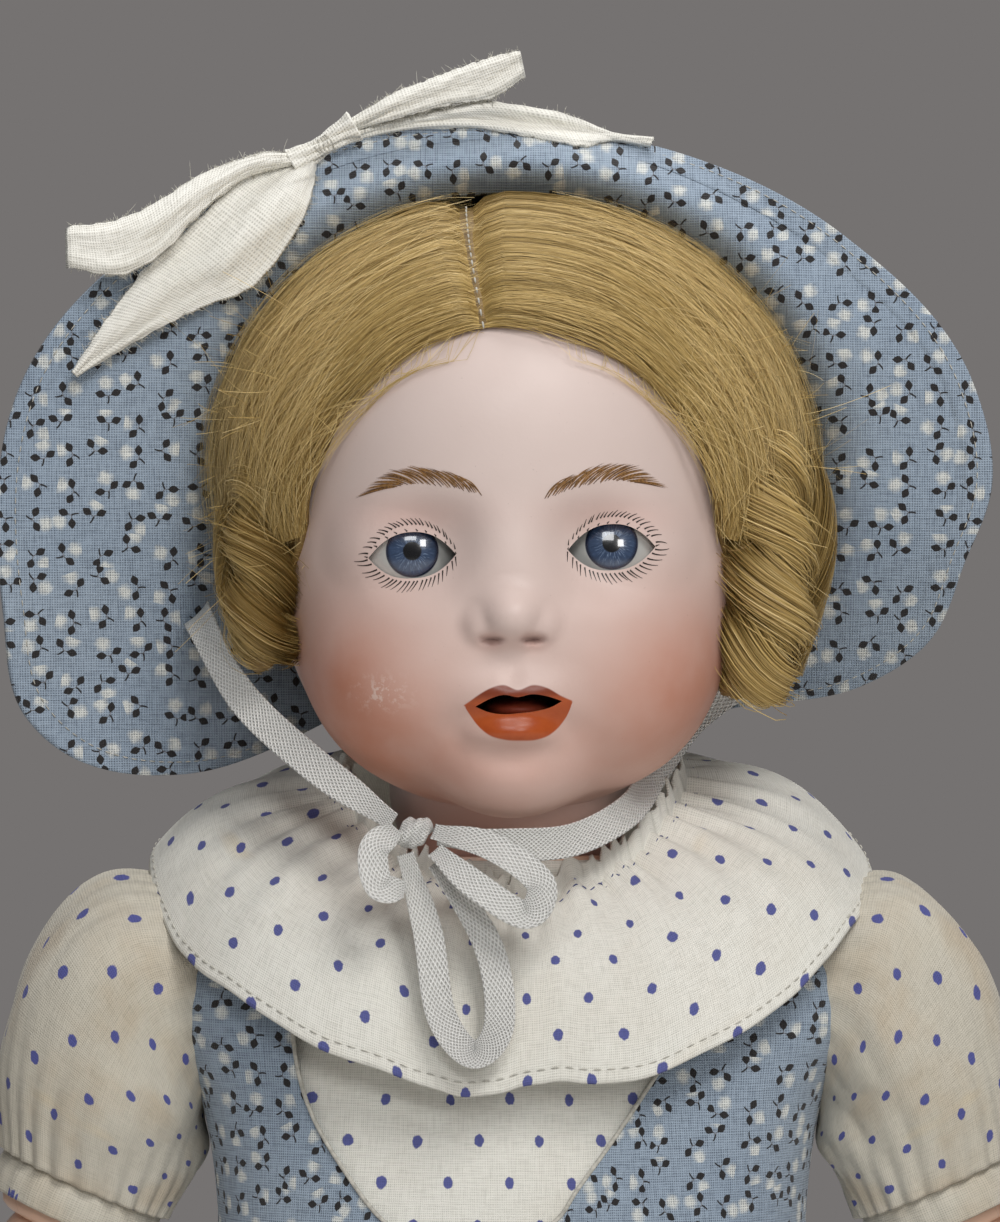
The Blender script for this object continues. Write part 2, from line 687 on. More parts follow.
calico = make_calico().material
lawn = make_lawn("lawn", (234, 231, 220), (246, 245, 238), 0.12).material
sleeve_lawn = make_lawn("sleeve_lawn", (196, 189, 172), (220, 215, 202), 0.5).material
muslin = make_plain_cloth("muslin", (240, 237, 226), (252, 250, 243), 0.46, 0.07).material
satin = make_satin().material
bisque = make_bisque().material
eye_glass = make_eye_glass().material
lash_paint = make_paint("lash_paint", (44, 32, 26), 0.45).material
brow_paint = make_paint("brow_paint", (176, 128, 72), 0.45).material
brow_shade = make_paint("brow_shade", (116, 76, 40), 0.45).material
white_thread = make_paint("white_thread", (232, 228, 216), 0.8).material
blue_thread = make_paint("blue_thread", (92, 100, 152), 0.8).material
mohair = make_mohair().material
hair_ground = make_hair_ground().material
composition = make_composition().material
leather = make_leather().material
knit = make_knit().material
felt = make_grained("felt", (136, 52, 34), (184, 86, 58), 0.9, (1, 1, 1), 0.5).material
wood = make_grained("wood", (150, 108, 66), (196, 152, 102), 0.25, (1, 1, 6), 0.6).material
steel = make_grained("steel", (96, 94, 92), (160, 158, 154), 0.6, (1, 1, 4), 0.38, 1.0, 0.02).material
lead = make_grained("lead", (84, 86, 90), (124, 126, 130), 0.5, (1, 1, 1), 0.55, 1.0).material
plaster = make_grained("plaster", (214, 208, 196), (236, 232, 224), 0.4, (1, 1, 1), 0.9).material
card = make_grained("card", (166, 142, 106), (196, 174, 138), 0.5, (1, 1, 1), 0.9).material
elastic = make_grained("elastic", (196, 188, 170), (226, 220, 206), 1.2, (1, 4, 4), 0.8).material

INNER_LOOKS = {
    "crown_pate": card,
    "neck_plug": wood,
    "neck_hook": steel,
    "eye_rocker": steel,
    "eye_weight": lead,
    "eye_plaster_left": plaster,
    "eye_plaster_right": plaster,
    "torso": composition,
    "stringing_ring": steel,
    "arm_elastic": elastic,
    "leg_elastic": elastic,
    "arm_ring_left": steel,
    "arm_ring_right": steel,
    "leg_ring_left": steel,
    "leg_ring_right": steel,
}
for node, look in INNER_LOOKS.items():
    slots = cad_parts[node].data.materials
    slots.clear()
    slots.append(look)

# Camera at the photograph's place: level with the nose, a little over a metre in front of the face
CAMERA_BACK = 1.1
CAMERA_X = -0.0017
CAMERA_UP = 0.3216
SENSOR = 36
FACE_PLANE = -0.035
FRAME_WIDTH = 1000 / 7.0 * MM  # width of the picture at the face
camera = bpy.data.cameras.new("camera")
camera.sensor_fit = "HORIZONTAL"
camera.sensor_width = SENSOR
camera.lens = SENSOR * (CAMERA_BACK + FACE_PLANE) / FRAME_WIDTH
viewer = bpy.data.objects.new("camera", camera)
viewer.location = (CAMERA_X, -CAMERA_BACK, CAMERA_UP)
viewer.rotation_euler = (math.radians(90), 0, 0)
bpy.context.scene.collection.objects.link(viewer)
bpy.context.scene.camera = viewer

# Ties: ribbons from under the hat's brim to a bow below the chin, close to the solids' own routes
TIE_KNOT = np.array([-14.0, -35.0, -6.0])
RIBBON = 4.8
LOOP_RIBBON = 4.3  # the loops are pulled narrower
TIE_ROUTES = {
    "hat_tie_right": [
        [-46.3, 6, 25],
        [-45.5, -6, 24],
        [-39, -15, 13],
        [-29, -26, 4],
        TIE_KNOT + [-3, 1, 1.5],
    ],
    "hat_tie_left": [
        TIE_KNOT + [3.4, 1, -0.5],
        [0, -35, -7.6],
        [9, -30.5, -7],
        [17, -21, -3],
        [21, -7, 2.5],
        [27, 3, 10],
        [38, 6, 18],
        [43.5, 9, 22],
    ],
    "tie_loop_long": TIE_KNOT
    + [
        [-1.2, -1, -3],
        [2, -2.4, -14],
        [4, -3.8, -26],
        [8.6, -4.8, -31.4],
        [12.2, -4.4, -27],
        [10.6, -3.2, -16],
        [3.2, -2, -4.2],
    ],
    "tie_loop_side": TIE_KNOT
    + [
        [2.8, -2.2, 0.2],
        [11, -5.4, -1.8],
        [18, -7.2, -7],
        [16, -8.2, -11.4],
        [9, -7.2, -7.4],
        [3, -4, -2.4],
    ],
    "tie_loop_small": TIE_KNOT + [[-2.4, -1.6, 0.6], [-5.6, -3.4, -2.4], [-4.8, -5, -7.4], [-1.2, -5, -8]],
}
RIBBON_THICK = 0.25
GRIPPED = 0.1  # share of a ribbon's length over which a knot's grip fades
LOOKS_OUT = {"tie": [0, -1.0, -0.2], "loop": [0, -1.0, 0.5]}  # which way a ribbon's flat side faces


def ribbon(name, route, squeeze_start, squeeze_end):
    """A tie as a flat braid that curls a little across its width and narrows where a knot grips it."""
    route = np.array(route, float)
    is_tie = name.startswith("hat")
    width = RIBBON if is_tie else LOOP_RIBBON

    def at(u, v):
        p = curve(route, v)
        ahead = unit(curve(route, np.minimum(v + 0.01, 1)) - curve(route, np.maximum(v - 0.01, 0)))
        outward = np.array(LOOKS_OUT["tie" if is_tie else "loop"])
        if name == "hat_tie_right":
            outward = p + [0, 0, 20.0]
        across = unit(np.cross(ahead, outward))
        up = np.cross(across, ahead)
        near, far = np.exp(-((v / GRIPPED) ** 2)), np.exp(-(((1 - v) / GRIPPED) ** 2))
        grip = 1 - squeeze_start * near - squeeze_end * far
        side = (2 * u - 1) * width / 2 * grip
        edge = 0.25 * np.abs(2 * u - 1) ** 3 + 0.12 * ripple(v * 9, u * 2, 5)
        return p + across * side[..., None] + up * edge[..., None] + NECK

    points, faces, uv = cloth(at, 14, 150, RIBBON_THICK)
    obj = put(f"{name}_braid", points, faces, satin, uv=uv, replaced=[name], slot="ribbon")
    return obj, curve(route, np.linspace(0, 1, 41)) + NECK


TIE_SQUEEZE = {"hat_tie_right": (0.0, 0.45), "hat_tie_left": (0.45, 0.0)}
tie_objects = {}
for name, route in TIE_ROUTES.items():
    squeezed = TIE_SQUEEZE.get(name, (0.45, 0.4))
    tie_objects[name] = ribbon(name, route, *squeezed)

# Head: the solids' own blend of rounded masses, each [x, y, z, rx, ry, rz], with finer features
EYE_X = 14.2
EYE_UP = 34.2
EYE_SET = -25.0
EYE_R = 10.9
MOUTH_X = 0.9
MOUTH_UP = 12.5
CRANIUM = [0, 1, 47, 35, 41, 36.5]
FACE = [0, -10, 22.5, 30.4, 30, 26.5]
CHEEK = [12.8, -23.5, 16, 14.4, 15.5, 13.5]
CHIN = [0, -29, 3.5, 10, 10, 7.5]
BROW = [0, -18, 54, 24, 22.5, 18]
EYE_HOLLOW = [EYE_X, -44, EYE_UP + 0.4, 9, 7, 6.2]
RAISED = [  # each mass with the width over which it melts into the face
    ([0, -36.4, 31.5, 4.4, 4.4, 8.5], 6),
    ([0, -40.3, 25.0, 4.5, 5.8, 4.1], 2.6),
    ([4.6, -39.3, 23.6, 2.5, 3.6, 2.8], 1.5),
    ([0, -36.4, 13.8, 8.6, 5.6, 3.4], 4),
    ([0, -36.6, 8.4, 6.4, 5, 2.6], 2.5),
]
HOLLOWED = [
    ([0, -44.2, 17.6, 1.4, 2.2, 2.6], 2.0),
    ([3.1, -43.4, 21.5, 1.9, 2.5, 0.75], 0.6),
    ([0, -42.5, 4.2, 8, 3.4, 1.8], 2.4),
]
LID = [EYE_X, EYE_SET, EYE_UP, 12.2, 12.2, 12.2]
HEAD_MIDDLE = np.array([0.0, -4.0, 34.0])
CROWN_UP = 74.0


def mass(p, form):
    """Distance from points to an ellipsoid, or to a mirrored pair where its x isn't 0."""
    centre, radii = np.array(form[:3], float), np.array(form[3:], float)
    d = p - centre
    if form[0]:
        d[..., 0] = np.abs(p[..., 0]) - form[0]
    near = np.linalg.norm(d / radii, axis=-1)
    slope = np.linalg.norm(d / radii**2, axis=-1)
    return near * (near - 1) / np.maximum(slope, 1e-9)


def melt(a, b, width):
    """The union of two distances, rounded over a width where they meet."""
    h = np.maximum(width - np.abs(a - b), 0) / width
    return np.minimum(a, b) - h * h * width / 4


def skull(p):
    """Distance to the head's plain form."""
    d = melt(mass(p, CRANIUM), mass(p, FACE), 18)
    d = melt(d, mass(p, CHEEK), 8)
    d = melt(d, mass(p, BROW), 12)
    return melt(d, mass(p, CHIN), 6)


def face(p):
    """Distance to the head with its features."""
    d = -melt(-skull(p), mass(p, EYE_HOLLOW), 6)
    for form, width in RAISED:
        d = melt(d, mass(p, form), width)
    for form, width in HOLLOWED:
        d = -melt(-d, mass(p, form), width)
    return melt(d, mass(p, LID), 1.6)


def outside(field, direction, offset, start):
    """Where the field reaches offset along directions from a point inside."""
    low = np.full(direction.shape[:-1], 4.0)
    high = np.full(direction.shape[:-1], 80.0)
    for _ in range(26):
        middle = (low + high) / 2
        inside = field(start + direction * middle[..., None]) < offset
        low = np.where(inside, middle, low)
        high = np.where(inside, high, middle)
    return start + direction * low[..., None]


def head_form(field, offset, around, rows, packing=0.0):
    """A closed mesh of a field at an offset; packing draws its points together at the face."""
    t = np.arange(1, rows) / rows
    lift = -np.pi / 2 + np.pi * (t + 0.7 * packing * np.sin(2 * np.pi * t))
    s = np.arange(around) / around
    turn = 2 * np.pi * (s - packing * np.sin(2 * np.pi * s))
    lift, turn = np.meshgrid(lift, turn, indexing="ij")
    way = stacked(np.sin(turn) * np.cos(lift), -np.cos(turn) * np.cos(lift), np.sin(lift))
    rings = outside(field, way, offset, HEAD_MIDDLE)
    poles = outside(field, np.array([[0, 0, -1.0], [0, 0, 1.0]]), offset, HEAD_MIDDLE)
    points = np.concatenate([rings.reshape(-1, 3), poles])
    k, nxt = np.arange(around), (np.arange(around) + 1) % around
    low, top = (rows - 1) * around, (rows - 2) * around
    ends = [[low, int(b), int(a)] for a, b in zip(k, nxt)]
    ends += [[low + 1, int(top + a), int(top + b)] for a, b in zip(k, nxt)]
    return points, ring_faces(rows - 2, around, capped=False) + ends


def face_normal(p, step):
    slope = [face(p + way) - face(p - way) for way in step * np.eye(3)]
    return unit(np.stack(slope, -1))


def on_face(x, z, above=0.0):
    """Points of the face's front at places seen from in front, and the face's normals there."""
    x, z = np.asarray(x, float), np.asarray(z, float)
    out, into = np.full(x.shape, -62.0), np.full(x.shape, -12.0)
    for _ in range(30):
        y = (out + into) / 2
        inside = face(stacked(x, y, z)) < 0
        into = np.where(inside, y, into)
        out = np.where(inside, out, y)
    p = stacked(x, out, z)
    normal = face_normal(p, 0.2)
    return p + normal * above, normal


LID_HALF = 6.25
LID_TOP = 3.45
LID_LOW = 3.15


def lid_edge(t, upper):
    """Height of the lid's edge above the line between the eye's corners, t from -1 to 1 across."""
    reach = np.abs(t)
    return LID_TOP * (1 - reach**2.3) if upper else -LID_LOW * (1 - reach**2.5)


def eye_outline(side):
    """The eye's opening seen from in front."""
    t = np.linspace(-1, 1, 28)
    low = stacked(EYE_X * side + LID_HALF * t, lid_edge(t, False))
    top = stacked(EYE_X * side + LID_HALF * t[::-1], lid_edge(t[::-1], True))
    outline = np.concatenate([low, top[1:-1]])
    outline[:, 1] += EYE_UP - 0.25 + LEAN * outline[:, 0]
    return outline


# The mouth seen from in front, [x, z] from its middle: the lips' upper edge, lower edge and the opening
LIP_TOP = [
    [-7.75, 0], [-6.9, 0.55], [-5.5, 1.5], [-4, 2.28], [-2.05, 2.67], [-0.1, 1.9], [2.1, 2.5], [4.2, 1.96],
    [6.1, 0.79], [7.75, 0],
]
LIP_LOW = [
    [-7.75, 0], [-7.1, -1.05], [-5.9, -2.8], [-4.4, -4.2], [-2.05, -5.1], [0.3, -5.35], [2.65, -5.3],
    [4.6, -4.6], [6.1, -3.25], [7.15, -1.6], [7.75, 0],
]
MOUTH_TOP = [
    [-6.1, -0.25], [-4, 0.8], [-2.05, 1.28], [-0.1, 0.88], [1.9, 1.2], [4.2, 0.8], [6.2, 0.05],
]
MOUTH_LOW = [
    [-6.1, -0.25], [-4.4, -1.05], [-2.05, -1.5], [-0.1, -1.45], [2.6, -1.2], [5, -0.6], [6.2, 0.05],
]


def mouth_outline():
    """The mouth's opening seen from in front."""
    t = np.linspace(MOUTH_TOP[0][0], MOUTH_TOP[-1][0], 36)
    low = np.column_stack([t, spline(MOUTH_LOW, t)])
    top = np.column_stack([t, spline(MOUTH_TOP, t)])[::-1]
    outline = np.concatenate([low, top[1:-1]]) + [MOUTH_X, MOUTH_UP]
    outline[:, 1] += LEAN * outline[:, 0]
    return outline


def bump_of(p, x, z, wide, tall):
    """A soft round patch seen from in front."""
    return np.exp(-(((p[:, 0] - x) / wide) ** 2) - ((p[:, 2] - z) / tall) ** 2)


def face_marks(p):
    """Where the face is painted: lips, blush, warm places, the mouth's inside, scuffs."""
    front = p[:, 1] < -20
    x = p[:, 0] - MOUTH_X
    z = p[:, 2] - MOUTH_UP - LEAN * p[:, 0]
    over = np.minimum(spline(LIP_TOP, x)[:, 0] - z, z - spline(LIP_LOW, x)[:, 0])
    over = np.minimum(over, 7.75 - np.abs(x))
    lips = np.where(front, np.clip(over, -2, 2), -2)
    sunk = p[:, 1] > on_face(p[:, 0], p[:, 2])[0][:, 1] + 0.9
    mouth = (np.abs(x) < 8) & (np.abs(z) < 3) & front & sunk
    nostrils = 0.7 * (bump_of(p, 3.2, 21.5, 1.5, 0.42) + bump_of(p, -3.0, 21.4, 1.5, 0.42))
    blush = 0.74 * bump_of(p, 27, 12, 18, 17) + 0.76 * bump_of(p, -25, 11, 17, 17)
    blush += 0.3 * bump_of(p, -12, 1, 14, 8) + 0.2 * bump_of(p, 8, 2, 16, 8)
    neck = 0.4 * np.clip(-p[:, 2] / 8, 0, 1)
    rosy = 0.3 * (bump_of(p, EYE_X, EYE_UP + 5, 9, 3) + bump_of(p, -EYE_X, EYE_UP + 5, 9, 3))
    rosy += 0.35 * (bump_of(p, 2.9, 21, 2, 1.3) + bump_of(p, -2.9, 21, 2, 1.3))
    return {
        "lips": lips,
        "shaded": smooth(np.clip((z - 0.2) / 1.2, 0, 1)),
        "blush": np.clip(blush * smooth((-p[:, 1] - 4) / 18) + neck, 0, 1),
        "rosy": rosy * front,
        "inside": np.maximum(mouth, nostrils * front),
        "scuff": 0.6 * bump_of(p, -18.5, 14, 3.5, 2) * front,
    }


BISQUE_WALL = 3
NECK_BALL = 18  # radius of the head's rounded neck
AROUND, ROWS = ((380, 290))
points, faces = head_form(face, 0, AROUND, ROWS, 0.085)
points, faces = carved(points, faces, [ellipsoid((0, 0, 0), (NECK_BALL,) * 3, 64, 40)], "UNION")
hollows = [
    head_form(skull, -BISQUE_WALL, 64, 44),
    ellipsoid((0, 0, 0), (NECK_BALL - BISQUE_WALL,) * 3, 48, 32),
    prism([[6 * math.cos(a), 6 * math.sin(a)] for a in np.arange(0, 6.28, 0.2)], -1, 1),
    joined([ellipsoid((EYE_X * s, EYE_SET, EYE_UP), (EYE_R + 0.3,) * 3, 48, 32) for s in (-1, 1)]),
    joined([prism(eye_outline(s), -70, EYE_SET) for s in (-1, 1)]),
    prism(mouth_outline(), -70, -24),
    (np.array([[x, y, z] for x in (-60, 60) for y in (-60, 60) for z in (CROWN_UP, 140)], float),
     [[0, 1, 3, 2], [4, 6, 7, 5], [0, 4, 5, 1], [2, 3, 7, 6], [0, 2, 6, 4], [1, 5, 7, 3]]),
]
hole, hole_faces = hollows[2]
hollows[2] = (stacked(hole[:, 0], hole[:, 2], hole[:, 1] * 20 - 10), hole_faces)
points, faces = carved(points, faces, hollows)
head = put("head_bisque", points + NECK, faces, bisque, "head", ["head"], "bisque", marks=face_marks(points))
crease(head, 40)

# Eyes: glass balls whose pattern is measured in millimetres from the middle of the iris
EYE_GAZE = 0.5  # how far the iris sits above the middle of the ball
CAP = 0.012


def eye_ball(side):
    around, rows = 96, 72
    polar = np.linspace(CAP, np.pi - CAP, rows)
    a, b = np.meshgrid(polar, circle(around), indexing="ij")
    ball = stacked(np.sin(a) * np.cos(b), -np.cos(a), np.sin(a) * np.sin(b)).reshape(-1, 3)
    flat = stacked(a * np.cos(b), a * np.sin(b)).reshape(-1, 2) * EYE_R
    rise = math.asin((EYE_GAZE + LEAN * EYE_X * side) / EYE_R)
    c, s = math.cos(rise), math.sin(rise)
    turned = stacked(ball[:, 0], ball[:, 1] * c + ball[:, 2] * s, ball[:, 2] * c - ball[:, 1] * s)
    faces = ring_faces(rows - 1, around, flip=True)
    uv = flat[np.concatenate(faces)]
    return turned * EYE_R + np.array([EYE_X * side, EYE_SET, EYE_UP]), faces, uv


for name, side in SIDES.items():
    points, faces, uv = eye_ball(side)
    put(f"glass_eye_{name}", points + NECK, faces, eye_glass, "eyes", [f"eye_{name}"], "glass", uv)

points, faces = joined(
    [
        ellipsoid((MOUTH_X, -31.4, MOUTH_UP - 0.9), (4.8, 6.6, 1.7), 48, 28),
        ellipsoid((0, -24, 7.6), (4, 5, 4), 24, 16),
    ]
)
put("felt_tongue", points + NECK, faces, felt, "head", ["tongue"], "felt")


# Painted brows and lashes: fine strokes that lie on the face
def strokes(name, flat, widths, material):
    p, normal = on_face(flat[..., 0], flat[..., 1], 0.05)
    points, faces = strips(p + NECK, np.cross(normal, np.gradient(p, axis=1)), widths)
    return put(name, points, faces, material, "head")


LASHES = {  # count, above the eye, distance off the lid's edge, length and slant at the inner and outer end
    "upper": (23, True, 1.05, (1.0, 1.5), (8, 76)),
    "rim": (10, True, 0.12, (0.4, 0.6), (20, 62)),
    "lower": (22, False, 0.4, (1.4, 2.1), (-4, 74)),
}


def lash_strokes(side, count, upper, clear, length, slant):
    """Fine strokes along a lid that all slant to the eye's outer end."""
    t = np.linspace(-1.0, 1.0, count) + rng.uniform(-0.016, 0.016, count)
    off = clear * mix(1, 0.6, np.abs(t) ** 3)
    flip = 1 if upper else -1
    edge = lid_edge(np.clip(t, -1, 1), upper) + flip * off
    outer = np.clip((1 + t * side) / 2, 0, 1)
    long = mix(length[0], length[1], outer) * rng.uniform(0.85, 1.15, count)
    turn = np.radians(mix(slant[0], slant[1], outer**1.2)) + rng.uniform(-0.07, 0.07, count)
    along = np.linspace(0, 1, 6)[None]
    bend = turn[:, None] * (1 + 0.22 * along)
    x = EYE_X * side + LID_HALF * t[:, None] + side * long[:, None] * along * np.sin(bend)
    z = edge[:, None] + flip * long[:, None] * along * np.cos(bend)
    z = z + EYE_UP - 0.25 + LEAN * x
    width = np.broadcast_to(np.linspace(0.115, 0.03, 6), x.shape)
    return stacked(x, z), width


for name, side in SIDES.items():
    for place, row in LASHES.items():
        flat, width = lash_strokes(side, *row)
        strokes(f"lashes_{place}_{name}", flat, width, lash_paint)

BROW_FOOT = [[4.3, 41.6], [8.5, 43.0], [13.5, 44.0], [17, 43.9]]
BROW_TOP = [[7.6, 44.4], [13.0, 46.3], [18.0, 45.9], [22.2, 42.8]]


def brow_strokes(side, count, spread):
    """Hairlines that rise from the brow's lower edge and sweep outwards; spread is how far up they start."""
    s = np.linspace(0, 1, count)
    start = curve(BROW_FOOT, s) + rng.normal(0, 0.08, (count, 2))
    end = curve(BROW_TOP, s) + rng.normal(0, 0.16, (count, 2))
    start = mix(start, end, spread * rng.uniform(0, 1, (count, 1)))
    along = np.linspace(0, 1, 9)[None, :, None]
    middle = mix(start, end, 0.5) + stacked(-0.5 + 0 * s, mix(0.75, 0.35, s))
    flat = start[:, None] * (1 - along) ** 2
    flat = flat + 2 * middle[:, None] * along * (1 - along) + end[:, None] * along**2
    flat[..., 0] *= side
    flat[..., 1] += LEAN * flat[..., 0] - 0.5 if side > 0 else 0.085 * flat[..., 0] + 0.75
    width = np.sin(np.pi * np.linspace(0.2, 0.98, 9)) * 0.085
    return flat, np.broadcast_to(width, flat.shape[:2])


for name, side in SIDES.items():
    for shade, count, spread, paint in (("light", 40, 0.3, brow_paint), ("dark", 22, 0.1, brow_shade)):
        flat, width = brow_strokes(side, count, spread)
        strokes(f"brow_{shade}_{name}", flat, width, paint)

# Wig: a cap with strands that fall in arcs from the sewn part to the braids
WIG_MIDDLE = np.array([0.0, 3.0, 46.0])
WIG_WIDE, WIG_FRONT, WIG_BACK, WIG_TOP, WIG_DROP = 43.5, 44.0, 45.0, 40.0, 35.0
HAIRLINE = [
    [0, -0.902], [18, -0.896], [38, -0.874], [60, -0.84], [80, -0.79], [100, -0.715],
    [110, -0.67], [120, -0.58], [128, -0.42], [135, -0.2], [150, 0.15],
]
PART_TURN = math.radians(-10.5)


def wig_point(turn, depth, lift=0.0):
    """A point of the wig: turn from the top towards the doll's left, depth from -1 in front to 1 behind."""
    c = np.sqrt(np.maximum(1 - depth**2, 0))
    y = np.where(depth < 0, WIG_FRONT, WIG_BACK) + lift
    z = np.where(np.cos(turn) > 0, WIG_TOP, WIG_DROP) + lift
    flat = [(WIG_WIDE + lift) * np.sin(turn) * c, y * depth, z * np.cos(turn) * c]
    return np.stack(np.broadcast_arrays(*flat), -1) + WIG_MIDDLE


def hairline(turn):
    """Depth of the hair's front edge at a turn from the top."""
    return spline(HAIRLINE, np.degrees(np.abs(turn)))[..., 0]


def wig_cap(u, v):
    turn = (2 * u - 1) * math.radians(150)
    depth = mix(hairline(turn) + 0.012, 0.97, v)
    return off_head(wig_point(turn, depth, -1.6 + 0.5 * smooth(v * 12)), 0.3) + NECK


def off_head(p, clear):
    """Moves points that lie too near the head's surface out to that clearance."""
    for _ in range(2):
        p = p + face_normal(p, 0.3) * np.maximum(clear - face(p), 0)[..., None]
    return p


points, faces, uv = cloth(wig_cap, 160, 90, 1.2)
put("wig_cap", points, faces, hair_ground, "head", ["wig"], "mohair", uv)


def hair(name, paths, half_width, tone, replaced):
    """Strands of mohair along paths, each with its tone."""
    n, m = paths.shape[:2]
    outward = paths - WIG_MIDDLE + rng.normal(0, 9, (n, 1, 3))
    across = np.cross(np.gradient(paths, axis=1), outward)
    points, faces = strips(paths + NECK, across, half_width)
    marks = {"tone": np.repeat(np.broadcast_to(tone, (n, m)).reshape(-1), 2)}
    return put(name, points, faces, mohair, "head", replaced, "mohair", marks=marks)


def swept(count, side, steps, loose):
    """Strands on one side, in lanes k from the hairline, 0, to under the hat, 1; loose ones stray."""
    k = np.sort(rng.uniform(0, 1, count) ** 0.9)[:, None]
    t = np.linspace(0, 1, steps)[None] ** 1.7
    foot = PART_TURN * mix(1.0, 0.85, k)
    tip = side * np.radians(rng.uniform(92, 112, (count, 1)))
    turn = mix(foot, tip, t)
    lane = mix(hairline(turn) + 0.006, -0.06, k**1.05)
    gather = smooth((np.degrees(np.abs(turn)) - 55) / 50)
    depth = mix(lane, mix(-0.68, -0.3, k), gather)
    wander = rng.normal(0, 0.01 + 0.03 * loose, (count, 1)) * t
    wave = np.sin(t * rng.uniform(3, 12, (count, 1)) + rng.uniform(0, 6.3, (count, 1)))
    depth = depth + wander + (0.005 + 0.012 * loose) * t * wave
    depth = np.maximum(depth, hairline(turn) - 0.012)
    rise = smooth(t / 0.06) * smooth(k / 0.06 + 0.25)
    lift = -0.9 + rise * (0.8 + rng.uniform(0, 1.2 + 0.5 * loose, (count, 1)) + 0.2 * np.sin(k * 60))
    lock = 0.03 * np.sin(k * 95 + 3 * t) + 0.04 * np.sin(k * 41 - 2 * t)
    tone = 0.58 + lock + rng.normal(0, 0.17, (count, 1))
    tone = tone - 0.15 * (1 - smooth(t / 0.05)) - 0.2 * smooth((k - 0.82) / 0.18)
    return off_head(wig_point(turn, depth, lift), lift + 1.6), np.clip(tone, 0, 1)


STRAY_HALF = 0.03  # half widths of single hairs
BRAID_HAIR_HALF = 0.055
STRANDS = 6800
HAIR_LAYERS = (  # name, half width of a strand, how loose
    ("under", 0.085, 0.0),
    ("over", 0.05, 0.35),
    ("fuzz", 0.035, 1.0),
)
for name, side in SIDES.items():
    for layer, half_width, loose in HAIR_LAYERS:
        paths, tone = swept(STRANDS, side, 15, loose)
        hair(f"hair_{layer}_{name}", paths, half_width, tone, ["wig"])


def strays(count):
    """Single hairs that cross the combed ones."""
    k = rng.uniform(0, 1, (count, 1))
    t = np.linspace(0, 1, 18)[None]
    side = rng.choice([-1, 1], (count, 1))
    turn = side * mix(rng.uniform(0.1, 1.0, (count, 1)), rng.uniform(1.2, 2.0, (count, 1)), t)
    depth = mix(hairline(turn), -0.1, k)
    depth = depth + rng.normal(0, 0.1, (count, 1)) * np.sin(t * rng.uniform(1, 5, (count, 1)))
    depth = np.maximum(depth, hairline(turn) - 0.035)
    lift = rng.uniform(0.6, 2.6, (count, 1)) + 0.7 * np.sin(t * 6 + rng.uniform(0, 6.3, (count, 1)))
    tone = np.broadcast_to(rng.uniform(0.6, 1, (count, 1)), turn.shape)
    return off_head(wig_point(turn, depth, lift), 0.6 * lift), tone


paths, tone = strays(2200)
hair("hair_strays", paths, STRAY_HALF, tone, ["wig"])


def flyaways(count):
    """Fine hairs that stand off the sides and curl over the brim."""
    turn = rng.choice([-1, 1], (count, 1)) * rng.uniform(0.9, 2.1, (count, 1))
    start = wig_point(turn, rng.uniform(-0.66, -0.2, (count, 1)), 0.5)
    t = np.linspace(0, 1, 14)[None, :, None]
    reach = np.minimum(rng.gamma(2.0, 2.2, (count, 1, 1)), 8.0)
    way = 0.6 * unit(start - WIG_MIDDLE) + rng.normal(0, 0.5, (count, 1, 3)) + [0, -0.5, -0.3]
    bend = rng.normal(0, 0.6, (count, 1, 3))
    return start + reach * (unit(way) * t + bend * t * t), rng.uniform(0.6, 1, (count, 1))


paths, tone = flyaways(700)
hair("hair_flyaways", paths, STRAY_HALF, tone, ["wig"])

depth = np.linspace(-0.898, -0.2, 60)
part_line = off_head(wig_point(PART_TURN * np.linspace(1.0, 0.85, 60), depth, -0.1), 1.3) + NECK
lift = 0.35 * unit(part_line - NECK - WIG_MIDDLE)
points, faces = stitches(part_line, 2.3, 0.16, 0.6, lift)
put("part_stitches", points, faces, white_thread, "head")


# Braids: two thick strands twisted about a path, each a bundle of fibres round a core
BRAID_CORE = 0.84  # radius of the core as a share of the strand's


def twist(path, helix, strand, pitch, fibres, steps=44):
    """Cores, fibres and tones of a braid's two strands."""
    t = np.linspace(0, 1, steps)
    middle = curve(path, t)
    far = np.concatenate([[0], np.cumsum(np.linalg.norm(np.diff(middle, axis=0), axis=1))])
    ahead = unit(np.gradient(middle, axis=0))
    outward = unit(middle - np.array([0, 6, 30.0]))
    across = unit(np.cross(ahead, outward))
    outward = np.cross(across, ahead)
    ends = np.sqrt(np.clip(np.minimum(t, 1 - t) / 0.12, 0.12, 1))
    cores, hairs, tones = [], [], []
    for k in range(2):
        phase = 2 * np.pi * (far / pitch + k / 2)
        way = across * np.cos(phase)[:, None] + outward * np.sin(phase)[:, None]
        core = middle + helix * ends[:, None] * way
        cores.append(core)
        grain = unit(np.gradient(core, axis=0))
        first = unit(np.cross(grain, outward))
        second = np.cross(grain, first)
        turn = (rng.uniform(0, 2 * np.pi, fibres)[:, None] - 0.9 * phase[None])[..., None]
        fuzz = BRAID_CORE + rng.gamma(1.4, 0.11, (fibres, 1))
        fuzz = fuzz + 0.05 * np.sin(9 * t + rng.uniform(0, 6.3, (fibres, 1)))
        reach = strand * (ends[None] * fuzz)[..., None]
        hairs.append(core[None] + reach * (first * np.cos(turn) + second * np.sin(turn)))
        tones.append(np.clip(0.52 + rng.normal(0, 0.16, (fibres, 1)) + 0.14 * np.sin(phase)[None], 0, 1))
    return np.stack(cores), np.concatenate(hairs), np.concatenate(tones)


